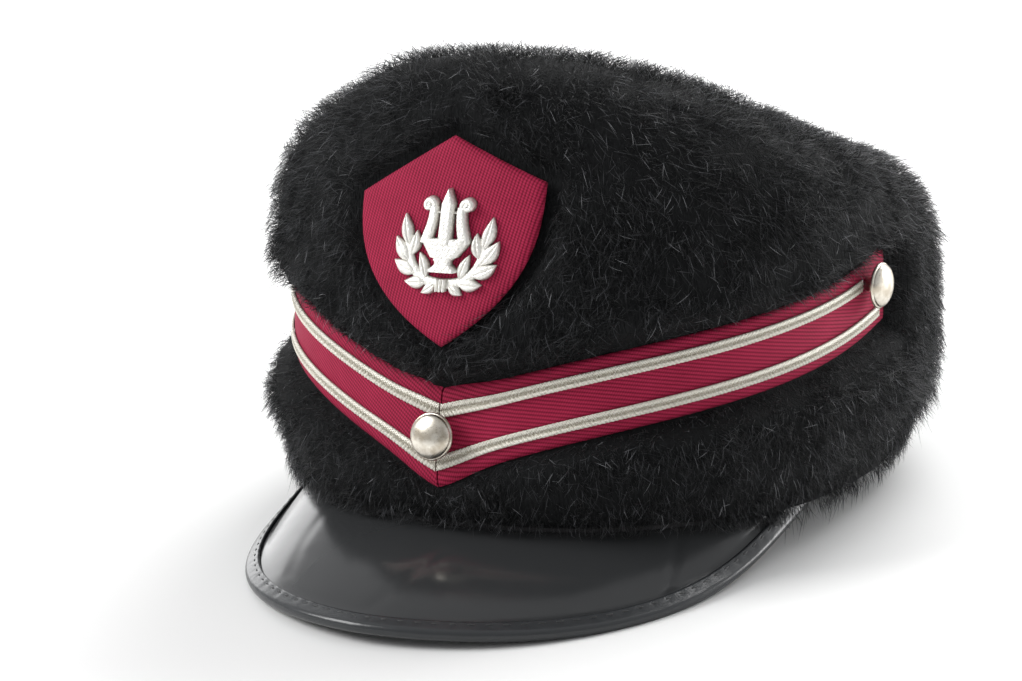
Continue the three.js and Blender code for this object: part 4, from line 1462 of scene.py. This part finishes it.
@dataclass(frozen=True)
class Ground:
    """Where hairs stand on the wall: the wall's frame there, and how far it is to what the hairs avoid."""

    angle: Array
    foot: Array
    normal: Array
    up: Array
    side: Array
    wide: Array
    gap: Array
    shield: Array
    above: Array
    top: Array
    low: Array


@dataclass(frozen=True)
class Fur:
    """Deep black fur: a dense underfur on the wall, fibres that stand out of it in small locks, and short
    guard hairs that lie over them."""

    crown: CrownForm
    line: BandLine
    shield: ShieldPlate
    visor: Visor
    seed: int = 7
    fibres: int = 98000
    guard_hairs: int = 13000
    clumps: int = 5200
    depth: float = 12.2
    low_depth: float = 6.4
    underfur: float = 8.9
    low_underfur: float = 4.2
    band_depth: float = 4.2
    shield_depth: float = 10.2
    hem_front: float = 3.2
    hem_side: float = 0.8
    hem_back: float = 2.0
    top_zone: tuple[float, float] = (0.6, 0.78)
    low_zone: tuple[float, float] = (11.0, 27.0)
    fringe_from: tuple[float, float] = (48.0, 62.0)
    fringe_to: tuple[float, float] = (68.0, 84.0)
    right_earlier: float = 9.0
    fibre: float = 0.085
    quarters: tuple[str, ...] = ("back_right", "front_right", "front_left", "back_left")

    def hem(self, angle: Array) -> Array:
        """Height of the fur's lower edge: above the rim, lowest at the sides and highest over the visor."""
        around = np.abs(np.arctan2(np.sin(angle), np.cos(angle))) / DEG
        rim = self.crown.wall(angle, np.zeros_like(angle))[..., 2]
        side = np.array([self.hem_front, self.hem_side, self.hem_side, self.hem_back])
        return rim + np.interp(around, [45.0, 62.0, 100.0, 125.0], side)

    def band_gap(self, angle: Array, z: Array) -> Array:
        """Distance above the band's upper edge, or below its lower edge as a negative number, else 0."""
        around = np.arctan2(np.sin(angle), np.cos(angle))
        near = np.clip(around, -self.line.end, self.line.end)
        half = self.line.width / 2 * self.line.stretch(near)
        offset = z - self.line.centre(near)
        gap = np.sign(offset) * np.maximum(np.abs(offset) - half, 0.0)
        past = np.maximum(np.abs(around) - self.line.end, 0.0) * 95
        return np.where(past > 0, np.sign(offset) * np.hypot(gap, past), gap)

    def ground(self, angle: Array, u: Array) -> Ground:
        """The ground at places of the wall."""
        foot = self.crown.wall(angle, u)
        above = foot[:, 2] - self.hem(angle)
        around, upward = self.crown.slopes(angle, u)
        shield = np.where(foot[:, 1] < 0, self.shield.distance(foot[:, 0], foot[:, 2]), 1e3)
        wide = np.maximum(np.linalg.norm(around, axis=-1), 9.0)
        gap = self.band_gap(angle, foot[:, 2])
        top, low = smoothstep(u, *self.top_zone), 1 - smoothstep(above, *self.low_zone)
        normal = unit(np.cross(around, upward))
        return Ground(angle, foot, normal, unit(upward), unit(around), wide, gap, shield, above, top, low)

    def pressed(self, ground: Ground) -> Array:
        """Depth of the underfur: less where the band or the shield presses it, thin at the hem."""
        full = self.underfur + (self.low_underfur - self.underfur) * ground.low
        band = 1.2 + (full - 1.2) * smoothstep(np.abs(ground.gap), 0.0, 6.0)
        plate = 5.5 + (self.underfur - 5.5) * smoothstep(ground.shield, 0.0, 4.5)
        lower = 1.2 + (full - 1.2) * np.sqrt(np.clip(ground.above / 9.0, 0.0, 1.0))
        return np.minimum(np.minimum(band, plate), lower)

    def pile(self) -> Shell:
        """The underfur: from the top down its outer face, round the hem and up a face close to the wall."""
        columns, rings = 180, 76
        angle = np.arange(columns) * 2 * math.pi / columns
        low = self.crown.level_of_height(angle, self.hem(angle))
        share = np.linspace(0.0, 0.985, rings)
        u = low[None, :] + (1 - low[None, :]) * share[:, None]
        around = np.broadcast_to(angle[None, :], u.shape)
        depth = self.pressed(self.ground(around.ravel(), u.ravel())).reshape(u.shape)
        outer = self.crown.point(around, u, depth)
        inner = self.crown.point(around[::6], u[::6], CLEARANCE)
        return Shell.rings(np.concatenate([outer[::-1], inner]), self.crown.top(self.underfur),
                           self.crown.top(CLEARANCE))

    def roots(self, rng: np.random.Generator) -> tuple[Array, Array, Array]:
        """Where the fibres stand, in clumps, clear of the band and the shield.

        Args:
            rng: the seeded source of random numbers.

        Returns:
            The clump that each fibre belongs to, then the angle and share u of each fibre after those of
            the clumps, which come first and are clumps of their own.
        """
        angle, u = self.crown.scatter(rng, self.clumps)
        around, upward = self.crown.slopes(angle, u)
        wide = np.maximum(np.linalg.norm(around, axis=-1), 9.0)
        tall = np.linalg.norm(upward, axis=-1)
        clump = rng.integers(self.clumps, size=int(self.fibres * 1.5))
        spread = rng.normal(0.0, 2.6, (2, clump.size))
        angle = np.concatenate([angle, angle[clump] + spread[0] / wide[clump]])
        u = np.concatenate([u, np.clip(u[clump] + spread[1] / tall[clump], 0.0, 0.997)])
        return np.concatenate([np.arange(self.clumps), clump]), angle, u

    def reach(self, ground: Ground) -> Array:
        """How far out the fur's face is: level with the band and the shield beside them, deep elsewhere."""
        full = self.depth + (self.low_depth - self.depth) * ground.low
        band = self.band_depth + (full - self.band_depth) * smoothstep(np.abs(ground.gap), 0.0, 7.0)
        plate = self.shield_depth + (self.depth - self.shield_depth) * smoothstep(ground.shield, 0.0, 6.0)
        return np.minimum(band, plate)

    def nap(self, ground: Ground, lean_up: Array, lean_side: Array) -> Array:
        """The way that hairs lean, kept off the band and swept away from the shield beside them."""
        beside = np.exp(-np.abs(ground.gap) / 4.0)
        lean_up = lean_up * (1 - 0.75 * beside) + 0.3 * beside * np.sign(ground.gap)
        middle = np.array([self.shield.centre_x, -85.0, self.shield.centre_z])
        away = ground.foot - middle
        away = unit(away - (away * ground.normal).sum(-1, keepdims=True) * ground.normal)
        near = np.exp(-np.maximum(ground.shield, 0.0) / 3.0)[:, None]
        lean = lean_up[:, None] * ground.up + lean_side[:, None] * ground.side
        inward = np.minimum((lean * away).sum(-1, keepdims=True), 0.0)
        return lean - near * inward * away + 0.3 * near * away

    def standing(self) -> Hairs:
        """The fibres: each rises out of the underfur and leans with the nap of its lock and its own.

        The nap falls down the sides, lies every way on the top and hangs in a fringe over the visor. A
        share of the way to the tip of its clump's first fibre gathers each lock.
        """
        rng = np.random.default_rng(self.seed)
        clump, angle, u = self.roots(rng)
        ground = self.ground(angle, u)
        count = len(u)
        swirl = np.sin(3 * angle + 9 * u) + 0.7 * np.sin(5 * angle - 14 * u + 1.3)
        lock = rng.normal(0.0, 0.3, (2, self.clumps))
        tuft = 0.1 * rng.normal(size=self.clumps)
        loose = rng.normal(0.0, 0.42, (2, count)) * (1 + 0.5 * ground.top)
        low = 1 - smoothstep(ground.above, 1.0, 12.0)
        edge = 1 - smoothstep(ground.above, 0.0, 6.0)
        around = np.abs(np.arctan2(np.sin(angle), np.cos(angle)))
        right = np.sin(angle) < 0
        beside = smoothstep(around / DEG + self.right_earlier * right, *self.fringe_from)
        beside = beside * (1 - smoothstep(around / DEG, *self.fringe_to))
        hanging = (rng.random(count) < 0.4 + 0.5 * edge) * low * rng.uniform(0.5, 1.8, count)
        hanging = hanging * (1 - smoothstep(around, 95 * DEG, 105 * DEG))
        skirt = np.where(right, 1 - smoothstep(ground.above, 3.0, 13.0), edge)
        hanging = hanging + skirt * beside * rng.uniform(0.2, 1.1, count)
        lean_up = -0.42 * (1 - 0.6 * ground.top) * (1 - 0.6 * low) - 0.8 * hanging + lock[0][clump] + loose[0]
        lean_side = 0.14 * swirl + lock[1][clump] + loose[1]
        nap = self.nap(ground, lean_up, lean_side)
        base = 0.6 * self.pressed(ground)
        wisp = (rng.random(count) < 0.07) * rng.uniform(0.08, 0.28, count)
        wisp = wisp + (0.3 + 0.6 * right) * skirt * beside
        tall = self.reach(ground) * (1 + tuft[clump] + 0.06 * rng.normal(size=count) + wisp) * (1 - 0.2 * low)
        rise = (tall - base)[:, None]
        root = ground.foot + base[:, None] * ground.normal
        tip = root + rise * (ground.normal + nap)
        gather = (0.1 + 0.35 * rng.random(count))[:, None] * (np.arange(count) >= self.clumps)[:, None]
        tip = tip + gather * (tip[: self.clumps][clump] - tip)
        curl = rng.normal(0.0, 0.55, (count, 3))
        bend = root + 0.62 * rise * ground.normal + 0.3 * rise * nap + curl
        bend = 0.8 * bend + 0.2 * (root + tip) / 2
        # Each fibre's tone: charcoal that differs at random, and an eighth of them lighter, partly grey
        # fibres and partly painted glints.
        tone = np.clip(0.3 + 0.08 * rng.normal(size=count), 0.06, 0.5)
        tone = np.where(rng.random(count) < 0.08, 0.5 + 0.25 * rng.random(count), tone)
        free = (np.abs(ground.gap) > 0.35) & (ground.shield > 0.35) & (ground.above > 0.2) & (u < 0.996)
        keep = np.flatnonzero(free)[: self.fibres]
        radius = self.fibre * (0.7 + 0.6 * rng.random(count))
        return Hairs(np.stack([root, bend, tip], 1)[keep], radius[keep], tone[keep], angle[keep])

    def guard(self) -> Hairs:
        """The guard hairs: nearly straight, lying down the fur's face, each a shallow parabola sideways."""
        rng = np.random.default_rng(self.seed + 2)
        angle, u = self.crown.scatter(rng, int(self.guard_hairs * 2.2))
        ground = self.ground(angle, u)
        count = len(u)
        low = 1 - smoothstep(ground.above, 1.0, 12.0)
        heading = rng.normal(0.0, 0.5, count) + (rng.random(count) < 0.14) * rng.uniform(-3.1, 3.1, count)
        lean_up, lean_side = -np.cos(heading) * (1 - 0.7 * ground.top * rng.random(count)), np.sin(heading)
        lean = unit(self.nap(ground, lean_up, lean_side))
        sideways = np.cross(ground.normal, lean)
        length = rng.uniform(2.8, 7.4, count) * (1 - 0.25 * low)
        bow = rng.normal(0.0, 0.16, count)
        reach = self.reach(ground)
        start, end = reach - rng.uniform(0.8, 2.2, count), reach + rng.normal(0.2, 0.5, count)
        s = np.linspace(0.0, 1.0, 4)[None, :, None]
        out = start[:, None, None] + (end - start)[:, None, None] * np.sin(s * math.pi / 2)
        run = length[:, None, None] * (s * lean[:, None] + bow[:, None, None] * s**2 * sideways[:, None])
        points = ground.foot[:, None] + out * ground.normal[:, None] + run
        last = points[:, -1] - end[:, None] * ground.normal
        turned = angle + ((last - ground.foot) * ground.side).sum(-1) / ground.wide
        clear = (self.band_gap(turned, last[:, 2]) * np.sign(ground.gap) > 0.8) & (np.abs(ground.gap) > 0.8)
        plate = np.where(last[:, 1] < 0, self.shield.distance(last[:, 0], last[:, 2]), 1e3)
        clear &= (np.minimum(plate, ground.shield) > 1.0) & (ground.above > 2.0) & (u < 0.98)
        keep = np.flatnonzero(clear)[: self.guard_hairs]
        # Guard hairs are lighter than the fibres, partly their own grey and partly painted glints; the
        # lightest sixth are painted glints.
        chosen = rng.random(count) < 0.16
        tone = np.where(chosen, rng.uniform(0.75, 1.0, count), rng.uniform(0.45, 0.7, count))
        return Hairs(points[keep], np.full(len(keep), self.fibre * 0.58), tone[keep], angle[keep])

    def settle(self, bench: Bench, points: Array, angle: Array, rng: np.random.Generator) -> Array:
        """Lifts what would go into the visor or the floor, so that hair lies on them."""
        over = 0.35 + 0.9 * rng.random(len(points))
        lifted = points.copy()
        lifted[:, 2] = np.maximum(lifted[:, 2], self.visor.top_z(points, angle) + over)
        placed = bench.rest.place(lifted)
        placed[:, 2] = np.maximum(placed[:, 2], (0.3 + over) * MM)
        return bench.rest.home(placed)

    def spindles(self, bench: Bench, hairs: Hairs, part: Array, rng: np.random.Generator) -> Shell:
        """A closed spindle for each hair: its root, rings of three points along it, and its tip.

        Args:
            bench: where the hat stands, for what lies on the visor and the floor.
            hairs: the hairs.
            part: which of them are made.
            rng: the seeded source of random numbers.

        Returns:
            All of the spindles as one shell.
        """
        line = hairs.points[part].copy()
        count, stations = line.shape[:2]
        for k in range(1, stations):
            line[:, k] = self.settle(bench, line[:, k], hairs.angle[part], rng)
        heading = unit(line[:, -1] - line[:, 0])
        across = unit(np.cross(heading, rng.normal(size=(count, 3))))
        over = np.cross(heading, across)
        turn = np.arange(3) * 2 * math.pi / 3
        ring = np.cos(turn)[None, :, None] * across[:, None] + np.sin(turn)[None, :, None] * over[:, None]
        rings = stations - 2
        taper = np.linspace(1.0, 0.75, rings)[None, :, None, None]
        radius = hairs.radius[part][:, None, None, None] * taper
        body = (line[:, 1:-1, None] + radius * ring[:, None]).reshape(count, -1, 3)
        points = np.concatenate([line[:, :1], body, line[:, -1:]], axis=1)
        last = 3 * rings + 1
        pattern = []
        for k in range(3):
            follow = (k + 1) % 3
            pattern.append([0, 1 + follow, 1 + k])
            pattern.append([last, last - 3 + k, last - 3 + follow])
            for r in range(rings - 1):
                near, far = 1 + 3 * r, 4 + 3 * r
                pattern.append([near + k, near + follow, far + follow])
                pattern.append([near + k, far + follow, far + k])
        faces = (np.arange(count)[:, None, None] * (last + 1) + np.array(pattern)[None]).reshape(-1, 3)
        # Painted shade along each hair: its root takes a quarter of its tone, for the shade deep in the pile,
        # its middle most of it and its tip all of it.
        shade = np.concatenate([[0.25], np.full(3 * rings, 0.9), [1.0]])
        tone = (hairs.tone[part][:, None] * shade[None]).reshape(-1, 1)
        return Shell(points.reshape(-1, 3), [faces], {"tone": tone})

    def build(self, bench: Bench, finish: FurFinish) -> None:
        """Adds the underfur, the fibres in four quarters by their angle, and the guard hairs."""
        bench.add("underfur", self.pile(), finish.backing(), "black_fur", ["crown_fur"])
        fibre = finish.strands()
        rng = np.random.default_rng(self.seed + 1)
        standing, guard = (
            hairs._replace(angle=np.arctan2(np.sin(hairs.angle), np.cos(hairs.angle)))
            for hairs in (self.standing(), self.guard())
        )
        order = np.argsort(standing.angle, kind="stable")
        for name, part in zip(self.quarters, np.array_split(order, len(self.quarters))):
            bench.add(f"fur_{name}", self.spindles(bench, standing, part, rng), fibre, "black_fur")
        every = np.arange(len(guard.angle))
        bench.add("fur_guard_hairs", self.spindles(bench, guard, every, rng), fibre, "black_fur")


@dataclass(frozen=True)
class Studio:
    """A pale floor, soft light from the upper left, and the camera at the photograph's angle."""

    azimuth: float = 29.838
    elevation: float = 15.009
    roll: float = 3.454
    distance: float = 780.62
    target: tuple[float, float, float] = (-27.273, 3.19, 47.205)
    lens: float = 85.236
    sensor: float = 36.0
    floor_reach: float = 9.0
    paper: str = "#f1f1f0"

    def frame_axes(self) -> tuple[Vector, Vector, Vector]:
        """The camera's right, up and back directions, rolled about its line of sight."""
        a, e, r = self.azimuth * DEG, self.elevation * DEG, self.roll * DEG
        back = Vector((math.sin(a) * math.cos(e), -math.cos(a) * math.cos(e), math.sin(e)))
        level = Vector((math.cos(a), math.sin(a), 0.0))
        upright = back.cross(level)
        return level * math.cos(r) - upright * math.sin(r), level * math.sin(r) + upright * math.cos(r), back

    def camera(self) -> None:
        """Makes the camera and sets it as the scene's."""
        right, up, back = self.frame_axes()
        data = bpy.data.cameras.new("photo_camera")
        data.lens = self.lens
        data.sensor_width = self.sensor
        camera = bpy.data.objects.new("photo_camera", data)
        place = Vector(self.target) * MM + back * self.distance * MM
        turn = Matrix((right, up, back)).transposed().to_4x4()
        camera.matrix_world = Matrix.Translation(place) @ turn
        bpy.context.scene.collection.objects.link(camera)
        bpy.context.scene.camera = camera

    def floor(self) -> None:
        """A wide level sheet of pale paper."""
        reach = self.floor_reach
        mesh = bpy.data.meshes.new("floor")
        mesh.from_pydata([(-reach, -reach, 0), (reach, -reach, 0), (reach, reach, 0), (-reach, reach, 0)], [],
                         [(0, 1, 2, 3)])
        material, shader = new_material("matt_paper")
        feed(material, shader, {"Base Color": linear(self.paper), "Roughness": 0.9})
        feed(material, shader, {"Specular IOR Level": 0.1})
        mesh.materials.append(material)
        floor = bpy.data.objects.new("floor", mesh)
        bpy.context.scene.collection.objects.link(floor)
        floor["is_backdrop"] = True

    def lamp(self, name: str, place: Sequence[float], size: Sequence[float], watts: float) -> None:
        """A rectangular soft light that faces the middle of the hat.

        Args:
            name: the light's name.
            place: where it stands, in metres.
            size: its width and height in metres.
            watts: its power.
        """
        data = bpy.data.lights.new(name, "AREA")
        data.shape = "RECTANGLE"
        data.size, data.size_y = size
        data.energy = watts
        lamp = bpy.data.objects.new(name, data)
        lamp.location = place
        facing = Vector((0.0, 0.0, 0.06)) - Vector(place)
        lamp.rotation_euler = facing.to_track_quat("-Z", "Y").to_euler()
        bpy.context.scene.collection.objects.link(lamp)

    def light(self) -> None:
        """A bright room, brighter behind the hat, and four soft lamps, seen without a film curve."""
        world = bpy.data.worlds.new("studio_room")
        world.use_nodes = True
        background = world.node_tree.nodes["Background"]
        background.inputs["Color"].default_value = linear("#f4f5f7")
        place = add_node(world, "TexCoord")
        parts = add_node(world, "SeparateXYZ", {"Vector": place.outputs["Generated"]})
        glow = add_node(world, "MapRange", {"Value": parts.outputs["Y"], 1: -1.0, 2: 1.0, 3: 0.4, 4: 0.86})
        feed(world, background, {"Strength": glow.outputs[0]})
        bpy.context.scene.world = world
        self.lamp("key_softbox", (-1.3, -0.9, 1.2), (1.0, 1.0), 29.0)
        self.lamp("rim_softbox", (0.2, 1.3, 1.15), (1.4, 0.8), 33.0)
        self.lamp("side_softbox", (1.2, 1.3, 0.35), (0.8, 0.6), 14.0)
        self.lamp("glare_panel", (-1.5, 1.1, 0.35), (0.9, 0.7), 4.5)
        bpy.context.scene.view_settings.view_transform = "Standard"

    def build(self) -> None:
        """Makes the camera, the floor and the light."""
        self.camera()
        self.floor()
        self.light()


def corners(box: tuple[Vector, Vector]) -> list[list[float]]:
    """A box's two corners as plain lists."""
    return [[float(value) for value in corner] for corner in box]


def main() -> None:
    """Builds the hat and the studio."""
    logging.basicConfig(level=logging.INFO, format="%(name)s: %(message)s")
    solid_box = corners(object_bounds())
    crown = CrownForm()
    bench = Bench(RestPose.on_frame(crown))
    line = BandLine(crown)
    shield = ShieldPlate(crown)
    visor = Visor(crown)
    Studio().build()
    CrownWall(crown).build(bench, WallFinish())
    visor.build(bench, PatentFinish(), BindingFinish())
    TwillBand(line).build(bench, TwillFinish())
    Braid(line).build(bench, BraidFinish())
    DomeButtons(line).build(bench, NickelFinish())
    shield.build(bench, TwillFinish())
    LyreBadge(shield).build(bench, BadgeFinish())
    Fur(crown, line, shield, visor).build(bench, FurFinish())
    bpy.context.view_layer.update()
    {"cad": solid_box, "visual": corners(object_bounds())}


if __name__ == "__main__":
    main()
